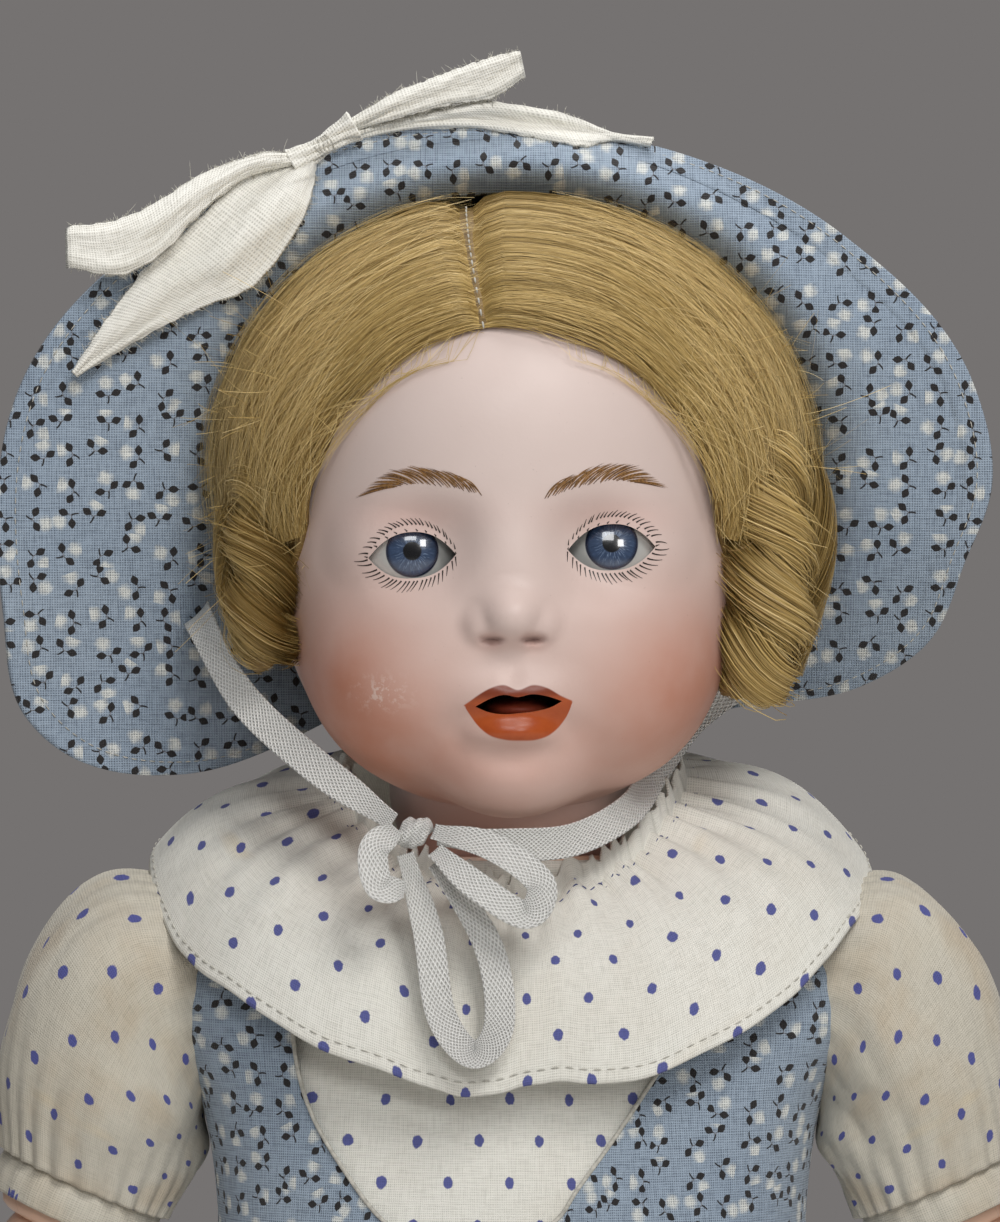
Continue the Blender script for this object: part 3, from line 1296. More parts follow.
def rope(path, radius, fibres, steps=36):
    """A loose lock along a path."""
    t = np.linspace(0, 1, steps)
    core = curve(path, t)
    ahead = unit(np.gradient(core, axis=0))
    first = unit(np.cross(ahead, [0, 1.0, 0.1]))
    second = np.cross(ahead, first)
    turn = (rng.uniform(0, 2 * np.pi, fibres)[:, None] + 3.5 * t[None])[..., None]
    reach = radius * rng.uniform(0.3, 1.05, (fibres, 1, 1))
    tone = np.clip(0.52 + rng.normal(0, 0.15, (fibres, 1)) + 0 * t[None], 0, 1)
    return core, core[None] + reach * (first * np.cos(turn) + second * np.sin(turn)), tone


BRAIDS = {  # path, how far the strands lie off it, their radius, length of a full turn
    "left": (
        [[35, -14, 49], [36, -19, 42], [36.8, -21, 32], [36.3, -20, 22], [34.3, -15.5, 13.5]],
        2.9, 3.7, 20,
    ),
    "right": (
        [[-34.8, -14, 46], [-35.8, -18.5, 40], [-36, -20, 32], [-35.8, -19.5, 25], [-34.6, -15, 18.5]],
        2.3, 3.1, 17,
    ),
}
FIBRES = 1050
for name, (path, helix, strand, pitch) in BRAIDS.items():
    cores, hairs, tones = twist(path, helix, strand, pitch, FIBRES)
    node = f"wig_braid_{name}"
    points, faces = tubes(cores, strand * BRAID_CORE, 14)
    put(f"braid_core_{name}", points + NECK, faces, hair_ground, "head", [node], "mohair")
    hair(f"braid_{name}", hairs, BRAID_HAIR_HALF, tones, [node])
locks = [
    [[41, -9, 50], [44, -12, 42], [44.3, -14, 34], [42.5, -14, 26], [39.5, -13, 17]],
    [[-39.5, -10, 45], [-40.5, -13.5, 37], [-40, -15, 29], [-37.5, -13.5, 21]],
]
for k, path in enumerate(locks):
    core, paths, tone = rope(path, 2.8, FIBRES)
    hair(f"braid_lock_{k}", paths, BRAID_HAIR_HALF, tone, ["wig_braid_left" if k == 0 else "wig_braid_right"])

# Hat: a soft brim that rolls over at the face, and a crown gathered behind
# Edge stations: degrees from the top towards the doll's left, reach past the wig's side, set back of the seam
BRIM_EDGE = [
    [-165, -7.5, 8], [-144, 1, 2], [-133, 21.5, -6], [-124, 32.6, -9], [-117, 36, -9], [-106, 33.4, -9],
    [-80, 29, -8], [-55, 18.5, -2], [-30, 11.5, 5], [0, 7.5, 9], [30, 9.7, 6], [55, 16.4, 2], [80, 25.4, -2],
    [92, 26.6, -3], [101, 24.2, -3], [112, 22.8, 0], [121, 17.2, 4], [133, 6.5, 6], [144, 1, 6],
    [165, -7.5, 8],
]
HAT_EASE = 5.1
ROLL_WIDE = 2.1  # where the roll stands highest
ROLL_DEEP = 3.4
TUCK = 3.2  # how far the brim curls in to the hair
BRIM_THICK = 1.0
CROWN_THICK = 0.9


def dome(way, ease):
    """The hat's rounded form at a direction, ease off the wig."""
    x = way[..., 0] * (WIG_WIDE + ease)
    y = way[..., 1] * (np.where(way[..., 1] < 0, WIG_FRONT, WIG_BACK) + ease)
    z = way[..., 2] * (np.where(way[..., 2] > 0, WIG_TOP, WIG_DROP) + ease)
    return stacked(x, y, z) + WIG_MIDDLE


def seam_way(turn):
    """Direction of the seam between brim and crown, which drops back to the nape."""
    nape = smooth((np.abs(turn) / np.pi - 0.5) * 2)
    y = mix(-7 / 45, 26 / 45, nape)
    flat = np.sqrt(1 - y * y)
    return stacked(np.sin(turn) * flat, y, np.cos(turn) * flat)


def brim_edge(turn):
    """The brim's outer edge."""
    before = [[a - 360, *row] for a, *row in BRIM_EDGE[-3:]]
    after = [[a + 360, *row] for a, *row in BRIM_EDGE[:3]]
    station = spline(before + BRIM_EDGE + after, np.degrees(turn))
    far = WIG_WIDE + station[..., 0]
    y = dome(seam_way(turn), HAT_EASE)[..., 1] + station[..., 1]
    return stacked(far * np.sin(turn), y, WIG_MIDDLE[2] + far * np.cos(turn))


def brim_point(turn, t):
    """The brim from the seam, t = 0, to the edge, 1, with its roll, waves and hem."""
    seam = dome(seam_way(turn), HAT_EASE)
    edge = brim_edge(turn)
    long = np.linalg.norm(edge - seam, axis=-1)
    down = t * long
    top = 1 - smooth((np.degrees(np.abs(turn)) - 50) / 35)
    roll = ROLL_DEEP * mix(0.25, 1.0, top) * down / ROLL_WIDE * np.exp(1 - down / ROLL_WIDE)
    wave = 1.0 * t * t * np.sin(7 * turn) + 0.5 * t * ripple(turn * 4, t * 2, 31)
    hem = 0.3 * smooth((down - long + 4.2) / 0.5)
    curl = mix(7.0, 3.8, top) * np.exp(-down / mix(2.4, 1.6, top))
    ahead = stacked(0 * t, -roll + wave - hem + curl, 0 * t)
    side = np.where(turn < 0, 4.2, 2.0)
    tuck = mix(side, TUCK, top) * np.exp(-down / mix(2.2, 1.2, top))
    inward = unit((WIG_MIDDLE - seam) * [1, 0, 1]) * tuck[..., None]
    return seam + (edge - seam) * t[..., None] + ahead + inward


def brim(u, v):
    return brim_point(about(u), v**1.15) + NECK


AROUND = 460
points, faces, _ = cloth(brim, AROUND, 64, BRIM_THICK, True)
uv = points[faces.ravel()][:, [0, 2]]
put("brim", points, faces, calico, "head", ["hat_brim"], "calico", uv)
turn = np.linspace(-2.4, 2.4, 700)
hem_line = brim_point(turn, 0.9 + 0 * turn) + NECK
points, faces = stitches(hem_line + [0, -0.62, 0], 1.5, 0.09, 0.7, np.array([[0, -0.1, 0]]) + 0 * hem_line)
put("brim_stitches", points, faces, white_thread, "head")


def crown(u, v):
    turn = about(u)
    start = mix(0.12, 0.16, smooth(np.abs(turn) / 1.4)) * (1 - smooth((np.abs(turn) - 2.0) / 0.7))
    reach = mix(start, 0.985, v)
    middle = smooth(reach) * 0.4 + reach * 0.6
    way = unit(mix(seam_way(turn), np.array([0, 1, 0.12]), middle[..., None]))
    held = smooth((v - 0.05) / 0.1) * np.exp(-v / 0.2) + np.exp((v - 1) / 0.16)
    gather = 0.035 * np.sin(38 * turn + 3 * np.sin(7 * turn)) * held
    puff = 1 + 0.05 * v * (1 - v) * np.cos(14 * turn) + gather * 0.5 + 0.008 * ripple(turn * 3, v * 5, 12)
    return (dome(way, 3.5) - WIG_MIDDLE) * puff[..., None] + WIG_MIDDLE + NECK


sew("crown", crown, (AROUND, 70), CROWN_THICK, calico, "head", "hat_crown", "calico", (310.0, 92.0))


# Hat bow: torn muslin, each piece given by its upper and lower edge as seen from in front
def brim_depth(x, z):
    """How far forward the brim lies where it is seen at x and z."""
    turn = np.arctan2(x, z - WIG_MIDDLE[2])
    far = np.hypot(x, z - WIG_MIDDLE[2])
    seam = dome(seam_way(turn), HAT_EASE)
    edge = brim_edge(turn)
    start = np.hypot(seam[..., 0], seam[..., 2] - WIG_MIDDLE[2])
    end = np.hypot(edge[..., 0], edge[..., 2] - WIG_MIDDLE[2])
    t = np.clip((far - start) / np.maximum(end - start, 1), 0.3, 1)
    return brim_point(turn, t)[..., 1]


BOW_PIECES = {  # upper edge, lower edge, distance in front of the brim, doubled
    "hat_bow_loop_left": (
        [[-31, 92.6], [-37, 92.5], [-45, 89.5], [-53, 84.3], [-58.7, 82], [-64.5, 81.2]],
        [[-31, 91.4], [-39, 89], [-46, 83], [-51, 77.5], [-57, 74.5], [-64.3, 75.4]],
        (3.5, 6.5), True,
    ),
    "hat_bow_tail_left": (
        [[-30, 92.4], [-35, 92], [-40, 88.5], [-47.5, 81], [-54, 74.6], [-60, 66.5], [-63.8, 60.2]],
        [[-28.8, 91], [-29, 88], [-31, 82], [-37.5, 73.3], [-45, 70], [-53, 66], [-63.4, 59.8]],
        (2.6, 4.0), False,
    ),
    "hat_bow_loop_right": (
        [[-24, 97.6], [-17.5, 101.5], [-11, 104], [-5.5, 106.2], [1, 108.2]],
        [[-24, 96], [-16.5, 98], [-9.5, 100], [-3, 101.2], [1.8, 104.4]],
        (3.2, 3.4), True,
    ),
    "hat_bow_tail_right": (
        [[-23.5, 96], [-16, 98], [-10, 99.6], [-3.5, 100.6], [8, 98.8], [15, 96], [21, 95.2]],
        [[-23, 95], [-15.5, 96.5], [-6, 96.8], [2.5, 95.5], [10.5, 94], [15, 95], [20.4, 94]],
        (2.4, 2.6), False,
    ),
}
FRAYS = 320  # loose threads along each edge
BOW_THICK = 0.55
KNOT_THICK = 0.5


def bow_piece(name, upper, lower, ahead, doubled):
    """A loop or tail of the bow with its frayed edges."""
    upper, lower = np.array(upper, float), np.array(lower, float)
    seed = len(name) + int(abs(upper[-1, 0]))

    def at(u, v):
        s = 1 - np.abs(2 * v - 1) if doubled else v
        flat = mix(curve(upper, s), curve(lower, s), u[..., None])
        wide = np.linalg.norm(curve(upper, s) - curve(lower, s), axis=-1)
        folds = 0.09 * wide * np.sin(u * 9 + 4 * s + seed) * (1.25 - s)
        crinkle = 0.22 * ripple(u * 6, s * 11, seed) + 0.1 * ripple(u * 17, s * 23, seed + 1)
        layer = -1.3 * np.cos(np.pi * v) * smooth(s * 3 + 0.2) if doubled else 0
        curl = 0.9 * smooth((u - 0.8) / 0.2) + 0.6 * smooth((0.2 - u) / 0.2)
        depth = brim_depth(flat[..., 0], flat[..., 1]) - mix(*ahead, s) + layer + folds + crinkle + curl
        ragged = 0.16 * ripple(s * 60, u * 3, seed + 2) * smooth((np.abs(2 * u - 1) - 0.8) / 0.2)
        return stacked(flat[..., 0], depth, flat[..., 1] + ragged) + NECK

    points, faces, uv = cloth(at, 40, 150, BOW_THICK)
    put(name + "_cloth", points, faces, muslin, "head", [name], "muslin", uv)
    frays = []
    for edge in (0.0, 1.0):
        s = rng.uniform(0.08, 0.99, FRAYS)
        v = s / 2 if doubled else s
        start = at(edge + 0 * s, v)
        inner = at(np.abs(edge - 0.05) + 0 * s, v)
        away = 0.6 * unit(start - inner) + rng.normal(0, 0.7, (FRAYS, 3))
        reach = rng.gamma(1.5, 0.22, (FRAYS, 1))
        t = np.linspace(-0.25, 1, 5)[None, :, None]
        frays.append(start[:, None] + (away * reach)[:, None] * t + rng.normal(0, 0.2, (FRAYS, 1, 3)) * t * t)
    points, faces = tubes(np.concatenate(frays), 0.045, 4)
    put(name + "_fray", points, faces, white_thread, "head", [name], "muslin")


for name, piece in BOW_PIECES.items():
    bow_piece(name, *piece)


def bow_knot(u, v):
    """A gathered band of muslin, crushed where thread holds it."""
    turn = 2 * np.pi * u
    s = 2 * v - 1
    along = np.array([-27.6, brim_depth(-27.6, 94.0) - 3.4, 94.0]) + s[..., None] * np.array([4.6, 0.2, 2.9])
    girth = 1.15 + 0.9 * s * s + 0.22 * np.sin(7 * turn + 5 * s) + 0.16 * ripple(turn * 2, s * 6, 3)
    up, back = np.array([-0.5, 0, 0.86]), np.array([0, 1.0, 0])
    ring = np.cos(turn)[..., None] * up + np.sin(turn)[..., None] * back
    return along + ring * girth[..., None] + NECK


sew("hat_bow_knot_cloth", bow_knot, (72, 44), KNOT_THICK, muslin, "head", "hat_bow_knot", "muslin")
t = np.linspace(0, 1, 14)
wraps = []
for k in range(5):
    u = t * 0.62 + 0.45
    wraps.append(bow_knot(u, 0.4 + 0.05 * k + 0.02 * np.sin(9 * t + k)))
points, faces = tubes(np.stack(wraps) + [0, -0.3, 0], 0.14, 5)
put("hat_bow_thread", points, faces, white_thread, "head", ["hat_bow_knot"], "muslin")


# Ties: the knot, and which bodies each ribbon bends between
def tie_knot(u, v):
    turn = 2 * np.pi * u
    s = 2 * v - 1
    girth = np.maximum(1 - s**4, 0.02) ** 0.4 * (1 + 0.09 * np.sin(3 * turn + 5 * s) + 0.05 * np.sin(11 * s))
    x = s * 2.2 + 0.5 * np.sin(turn)
    ball = stacked(x, np.cos(turn) * girth * 1.5, np.sin(turn) * girth * 1.9)
    return ball + TIE_KNOT + NECK


knot = sew("tie_knot_braid", tie_knot, (48, 30), 0.4, satin, "neck", "tie_knot", "ribbon", (15.0, 7.0))
TIE_BENDS = {
    "hat_tie_right": ("neck", "head", 1.0, 0.15),
    "hat_tie_left": ("neck", "head", 0.0, 0.85),
    "tie_loop_long": ("neck", "torso", 0.0, 0.5),
    "tie_loop_side": ("neck", "torso", 0.0, 0.5),
}
for name, (first, last, near, far) in TIE_BENDS.items():
    obj, path = tie_objects[name]
    if last == "head":
        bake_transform(obj)
    else:
        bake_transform(obj)
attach(tie_objects["tie_loop_small"][0], "neck")

# Blouse: a body under the collar, puffed sleeves, cuffs
TORSO = [
    [156, 24.6, 16, 16], [163, 33.6, 22, 24], [176.3, 38.95, 27, 28], [194.9, 41, 31, 27],
    [216.2, 39.4, 30, 25],
    [242.8, 39.8, 26, 24], [264.1, 41, 24, 23], [276.05, 36.9, 22, 22], [286, 24.6, 20.4, 20.4],
]
ROMPER = [
    [149, 39, 23, 25], [163, 46, 30, 31], [181, 47, 34, 33], [213, 44, 34, 30], [236.15, 43.4, 30.6, 28.5],
    [250.8, 46, 28.8, 28], [262.75, 50.5, 27, 28], [270, 49.5, 25.8, 27], [277.4, 43, 24.5, 26],
    [288, 33, 21.5, 24], [291, 27, 20, 23],
]
SHOULDER = np.array([49.0, BODY_Y, 269.0])
ROD_SIDES = 56
CLOTH_THICK = 0.8  # of the lawn and the calico


def body_point(stations, z, turn, square, ease):
    """A point round the body at height z; square below 1 is fuller."""
    row = spline(stations, z)
    s, c = np.sin(turn), np.cos(turn)
    x = (row[..., 0] + ease) * np.sign(s) * np.abs(s) ** square
    y = -(np.where(c > 0, row[..., 1], row[..., 2]) + ease) * np.sign(c) * np.abs(c) ** square + BODY_Y
    return stacked(x, y, z)


def wrapped(points, faces, girth):
    """Pattern coordinates round the body for faces cut out of a shell."""
    turn = np.arctan2(points[:, 0], BODY_Y - points[:, 1])
    uv = []
    for face in faces:
        a = turn[face]
        if a.max() - a.min() > np.pi:
            a = np.where(a < 0, a + 2 * np.pi, a)
        uv.append(stacked(a * girth, points[face, 2]))
    return np.concatenate(uv)


def rod(radius, x0, x1, y, z):
    """A cutter along X."""
    turn = circle(ROD_SIDES)
    ring = stacked(y + radius * np.cos(turn), z + radius * np.sin(turn))
    p = np.concatenate([np.column_stack([np.full(ROD_SIDES, x), ring]) for x in (x0, x1)])
    return p, ring_faces(1, ROD_SIDES)


def tailored(at, nu, nv, cutters, girth):
    """A cloth piece round the body with openings cut out, girth being the radius its pattern is laid on."""
    points, faces, _ = cloth(at, nu, nv, CLOTH_THICK, True)
    points, faces = carved(points, faces, cutters)
    return points, faces, wrapped(points, faces, girth)


def blouse(u, v):
    turn = about(u)
    z = mix(203.0, 285.5, v)
    folds = 0.35 * np.sin(9 * turn + 3 * v) + 0.3 * ripple(turn * 3, v * 4, 8)
    loose = smooth((z - 215) / 12) * (1 - smooth((z - 256) / 12))
    return body_point(TORSO, z, turn, mix(1.0, 0.86, loose), 0.95 + 1.6 * loose + 0.35 * folds)


def arm_openings(radius):
    return [rod(radius, *ends, BODY_Y, SHOULDER[2]) for ends in ((25, 75), (-75, -25))]


armholes = arm_openings(11.8)
points, faces, uv = tailored(blouse, 150, 60, armholes, 40.0)
put("blouse", points, faces, lawn, "torso", ["blouse_body"], "lawn", uv)

SLEEVE = [  # share of the length, then the inner and outer edge from the shoulder in X and Z, half depth
    [0.0, -7, -12, -8, 11, 11.5], [0.25, -3.6, -20, 9, 13.4, 15], [0.5, -3.2, -25, 19.8, 2.4, 16.4],
    [0.75, -1.2, -30, 25, -12.4, 15.8], [1.0, 2.03, -36.53, 25.79, -25.95, 13],
]
# Places in metres where a sleeve starts to follow the arm, and where it fully does: x and z
SLEEVE_SAG = 1.6  # the doll's right sleeve puffs out this much more, its left this much less


def sleeve(side):
    def at(u, v):
        turn = 2 * np.pi * u
        row = spline(SLEEVE, v)
        ends = np.exp(-v / 0.13) + np.exp((v - 1) / 0.16)
        gather = 1 + 0.035 * np.sin(26 * turn + 2 * np.sin(3 * turn)) * ends
        middle = np.sin(np.pi * v)
        gather = gather + 0.05 * ripple(turn * 1.5, v * 4, 21 + side) * middle
        gather = gather + 0.035 * np.abs(ripple(turn * 3.5, v * 5 + turn, 33 + side)) * middle
        gather = gather + 0.05 * np.sin(5 * turn + 6 * v + side) * middle**2
        across = (gather * np.sin(turn) + 1) / 2
        x = mix(row[..., 0], row[..., 2] - side * SLEEVE_SAG * middle, across)
        z = mix(row[..., 1], row[..., 3], across)
        y = row[..., 4] * gather * np.cos(turn)
        return stacked(side * (SHOULDER[0] + x), BODY_Y + y, SHOULDER[2] + z)

    return at


ARM_SPLAY = math.radians(24)
ELBOW_BEND = math.radians(24)
UPPER_ARM, FOREARM = 46.0, 42.0
CUFF_THICK = 1.0


def arm_place(points, joint):
    """Carries points from an arm's own frame, Z up along it, to the doll's left side."""
    c, s = math.cos(ARM_SPLAY), math.sin(ARM_SPLAY)
    turn = np.array([[c, 0, -s], [0, 1, 0], [s, 0, c]])
    cb, sb = math.cos(ELBOW_BEND), math.sin(ELBOW_BEND)
    bend = np.array([[1, 0, 0], [0, cb, sb], [0, -sb, cb]])
    p = np.asarray(points, float)
    if joint == "wrist":
        p = p + [0, 0, -FOREARM]
    if joint in ("elbow", "wrist"):
        p = p @ bend.T + [0, 0, -UPPER_ARM]
    return p @ turn.T + SHOULDER


def mirrored(points, faces, side):
    """The left side's form, or its mirror image for the right."""
    if side > 0:
        return points, faces
    return points * [-1, 1, 1], [list(f)[::-1] for f in faces]


def cuff(u, v):
    turn = 2 * np.pi * u
    far = 11.8 + 0.5 * np.sin(np.pi * v) + 0.12 * np.sin(22 * turn)
    ring = stacked(far * np.cos(turn), far * np.sin(turn), mix(-34.2, -39.8, v))
    return arm_place(ring, "shoulder")


for name, side in SIDES.items():
    piece, node = f"sleeve_cloth_{name}", f"sleeve_{name}"
    obj = sew(piece, sleeve(side), (180, 70), CLOTH_THICK, sleeve_lawn, None, node, "lawn", (118.0, 52.0))
    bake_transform(obj)
    points, faces, uv = cloth(cuff, 120, 16, CUFF_THICK, True, (74.0, 6.0))
    flipped = mirrored(points, faces, side)
    put(f"cuff_cloth_{name}", *flipped, sleeve_lawn, f"upper_arm_{name}", [f"cuff_{name}"], "lawn", uv)

# Collar: a wide round frill on a gathered heading
COLLAR = [  # share of half a turn from the front, then out and up of the neckline, out and up of the edge
    [0, 23.6, -15.8, 35.5, -42.8], [0.13, 23.7, -14, 38.5, -41], [0.25, 23.9, -10.4, 44.5, -35.4],
    [0.36, 24, -5, 49.5, -26], [0.44, 24.5, -2.4, 52, -18], [0.52, 25, 0, 53, -11.8], [0.7, 25.5, 4, 43, -6],
    [1, 25.5, 6, 31, -16],
]
COLLAR_ROUND = [[-a, *b] for a, *b in COLLAR[:0:-1]] + COLLAR + [[2 - a, *b] for a, *b in COLLAR[-2::-1]]


def collar_point(turn, v):
    row = spline(COLLAR_ROUND, np.abs(turn) / np.pi)
    puff = np.sin(np.pi * v) ** 0.9
    out = mix(row[..., 0], row[..., 2], v) + 3.4 * puff
    up = mix(row[..., 1], row[..., 3], v) + 3.2 * puff
    near = np.exp(-v / 0.16)
    up = up + 0.75 * near * np.sin(58 * turn + 3 * np.sin(9 * turn))
    up = up + 0.6 * np.exp(-v / 0.5) * np.sin(31 * turn + 2 * np.sin(5 * turn))
    up = up + v * (0.9 * np.sin(7 * turn + 0.6) + 0.5 * np.sin(11 * turn))
    up = up + 0.35 * ripple(turn * 4, v * 3, 17)
    return stacked(out * np.sin(turn), BODY_Y - out * np.cos(turn), NECK[2] + up)


def collar(u, v):
    return collar_point(about(u), v)


sew("collar_cloth", collar, (420, 60), 0.75, lawn, "torso", "collar", "lawn", (300.0, 36.0))


def heading(u, v):
    """The little frill that stands above the gathering thread."""
    turn = about(u)
    base = collar_point(turn, 0 * v + 0.02)
    wave = np.sin(64 * turn + 2 * np.sin(11 * turn))
    rise = v * (3.6 + 0.25 * wave)
    inward = unit(base - np.array([0, BODY_Y, 0]) - np.array([0, 0, 1.0]) * base[..., 2:])
    return base - inward * (v * 1.1 + 0.4 * v * wave)[..., None] + rise[..., None] * np.array([0, 0, 1.0])


sew("collar_heading", heading, (420, 10), 0.5, lawn, "torso", "collar", "lawn", (420.0, 4.0))
turn = np.linspace(-np.pi, np.pi, 900)
for name, v, pitch, thread in (("hem", 0.955, 2.0, white_thread), ("gathers", 0.05, 1.5, blue_thread)):
    off = unit(stacked(np.sin(turn), -np.cos(turn), 0.6 + 0 * turn))
    line = collar_point(turn, v + 0 * turn) + 0.45 * off
    points, faces = stitches(line, pitch, 0.1, 0.66, 0.16 * off)
    put(f"collar_{name}", points, faces, thread, "torso")

# Calico garment: bodice with a V neck, seat, gathered legs
WAIST_Z = 213.0
VEE_LEFT = [
    [-5, 229.5], [0, 230.6], [6.2, 234.4], [9.4, 238.9], [15.7, 247.6], [22.9, 258.7], [27, 268],
    [29, 306],
]
VEE_RIGHT = [
    [-5, 229.5], [-12, 230.8], [-18.5, 234.4], [-24, 241.3], [-28.6, 249], [-31, 257], [-32, 268],
    [-32, 306],
]


def vee_outline():
    """The neck opening seen from in front, up past the shoulders."""
    left, right = [np.array(line, float) for line in (VEE_LEFT, VEE_RIGHT)]
    smooth_left = curve(left[:-1], np.linspace(0, 1, 24))
    smooth_right = curve(right[:-1], np.linspace(0, 1, 24))
    return np.concatenate([smooth_left, left[-1:], right[-1:], smooth_right[::-1][:-1]])


def bodice(u, v):
    turn = about(u)
    z = mix(WAIST_Z + 0.2, 291.0, v)
    tucks = 0.5 * np.sin(34 * turn + 2 * np.sin(5 * turn)) * np.exp(-v / 0.12)
    folds = 0.45 * ripple(turn * 3, v * 4, 44)
    return body_point(ROMPER, z, turn, 0.82, -0.4 + tucks * 0.6 + folds * 0.5)


arm_cuts = arm_openings(13.2)
points, faces, uv = tailored(bodice, 300, 90, [prism(vee_outline(), -60, 60), *arm_cuts], 43.0)
put("bodice", points, faces, calico, "torso", ["romper_bodice"], "calico", uv)


def on_bodice(x, z, front):
    """The bodice's surface where it is seen at x and z from in front or from behind."""
    row = spline(ROMPER, z)
    s = np.clip(np.abs(x) / row[..., 0], 0, 0.999) ** (1 / 0.82)
    c = np.sqrt(1 - s * s) ** 0.82
    y = BODY_Y - row[..., 1] * c if front else BODY_Y + row[..., 2] * c
    return stacked(x, y, z)


edge = vee_outline()
left_edge, right_edge = edge[:24], edge[26:][::-1]
for front in (True, False):
    for name, line in (("left", left_edge), ("right", right_edge)):
        fine = curve(line, np.linspace(0, 1, 200))
        away = 1.0 if name == "left" else -1.0
        path = on_bodice(fine[:, 0] + away * 0.1, fine[:, 1], front)
        points, faces = tubes(path[None], 0.32, 7)
        side = "front" if front else "back"
        put(f"vee_hem_{side}_{name}", points, faces, white_thread, "torso", ["romper_bodice"], "calico")


def seat(u, v):
    turn = about(u)
    z = mix(WAIST_Z - 0.2, 149.0, v)
    tucks = 0.9 * np.sin(34 * turn + 2 * np.sin(5 * turn)) * np.exp(-v / 0.2)
    folds = 1.2 * ripple(turn * 2.4, v * 3, 9) * np.sin(np.pi * np.clip(v, 0, 1))
    return body_point(ROMPER, z, turn, 0.82, -0.4 + tucks * 0.6 + folds * 0.6)


sew("seat", seat, (300, 60), CLOTH_THICK, calico, "torso", "romper_seat", "calico", (275.0, 68.0))

LEG_X = 23.0
HIP_Z = 163.0
KNEE_Z = 88.0
ROMPER_LEG = [[0, 154, 16.7], [0.25, 147, 17], [0.55, 138, 20.6], [0.8, 130, 20.4], [1, 123, 18.6]]


def romper_leg(side):
    def at(u, v):
        turn = 2 * np.pi * u
        row = spline(ROMPER_LEG, v)
        gather = 0.9 * np.sin(22 * turn + 2 * np.sin(3 * turn)) * np.exp((v - 1) / 0.2)
        folds = 0.7 * ripple(turn * 1.7, v * 4, 5 + side) * np.sin(np.pi * v)
        far = row[..., 1] + gather * 0.8 + folds
        return stacked(side * LEG_X + far * np.sin(turn), BODY_Y - far * np.cos(turn), row[..., 0])

    return at


for name, side in SIDES.items():
    piece, node = f"romper_leg_cloth_{name}", f"romper_leg_{name}"
    obj = sew(piece, romper_leg(side), (180, 44), CLOTH_THICK, calico, None, node, "calico", (124.0, 32.0))
    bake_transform(obj)

# Limbs of composition: turned forms as [radius, height] from the joint at their upper end
ARM_FORMS = {
    "upper_arm": ("shoulder", [
        [0.01, 10.3], [5, 9], [9, 5], [10.3, 0], [9.4, -4.5], [8.2, -9], [8.6, -20], [9, -32], [9.8, -41.5],
        [0.01, -41.6],
    ]),
    "forearm": ("elbow", [
        [0.01, 8.2], [4, 7.2], [7, 4.3], [8.2, 0], [7.2, -3.6], [5.9, -6.4], [7, -12], [7.8, -20], [6.6, -32],
        [6.2, -41], [0.01, -41.1],
    ]),
}


def limb(part, side_name, points, faces):
    node = f"{part}_{side_name}"
    put(f"{part}_form_{side_name}", points, faces, composition, node, [node], "composition")


for name, side in SIDES.items():
    for part, (joint, profile) in ARM_FORMS.items():
        points, faces = lathe(profile)
        limb(part, name, *mirrored(arm_place(points, joint), faces, side))


def remeshed(points, faces, voxel):
    """One smooth closed skin round overlapping forms."""
    blank = bpy.data.materials.new("blank")
    obj = put("skin", points, faces, blank)
    grid = obj.modifiers.new("grid", "REMESH")
    grid.mode = "VOXEL"
    grid.voxel_size = voxel * MM
    relax = obj.modifiers.new("relax", "SMOOTH")
    relax.factor = 0.6
    relax.iterations = 5
    found = evaluated(obj)
    bpy.data.objects.remove(obj)
    bpy.data.materials.remove(blank)
    return found


PALM = [[-12.15, (4.4, 7.6, 8.9)], [0, (4.6, 4.6, 4.6)], [-5, (4.0, 5.4, 6)]]  # height, radii
FINGERS = [[-5, 5.6], [-1.7, 6.4], [1.6, 6.2], [4.8, 5]]  # place across the hand, length


def hand():
    parts = [ellipsoid((0, 0, z), radii) for z, radii in PALM]
    for y, long in FINGERS:
        parts.append(ellipsoid((-1.2, y, -20.5), (2.1, 2.1, long), 20, 14))
    p, f = ellipsoid((0, 0, 0), (2.2, 2.3, 5.6), 20, 14)
    c, s = math.cos(math.radians(38)), math.sin(math.radians(38))
    lean = np.array([[1, 0, 0], [0, c, -s], [0, s, c]])
    parts.append((p @ lean.T + [-1.6, -8.2, -13.5], f))
    return remeshed(*joined(parts), 0.5)


hand_points, hand_faces = hand()
for name, side in SIDES.items():
    limb("hand", name, *mirrored(arm_place(hand_points, "wrist"), hand_faces, side))

THIGH = [
    [0.01, 16], [8, 14], [14, 8], [16, 0], [14.6, -6], [13.4, -12], [15, -26], [16.4, -40], [15.2, -56],
    [14.2, -69], [0.01, -69.1],
]
SHIN = [
    [0.01, 12], [6, 10.4], [10.4, 6], [12, 0], [11, -4], [10.2, -6.5], [9.4, -10], [11.4, -20], [12.6, -32],
    [11.4, -48], [8.6, -62], [8.6, -79.4], [0.01, -79.5],
]
FOOT = [  # distance ahead of the ankle, half width, height
    [-12, 5, 11], [-8, 8.6, 14], [1, 9.2, 15], [11, 9.4, 12.5], [21, 10.4, 10.5], [29, 9.4, 9], [34, 6, 7],
]
FLOOR_Z = 2.9


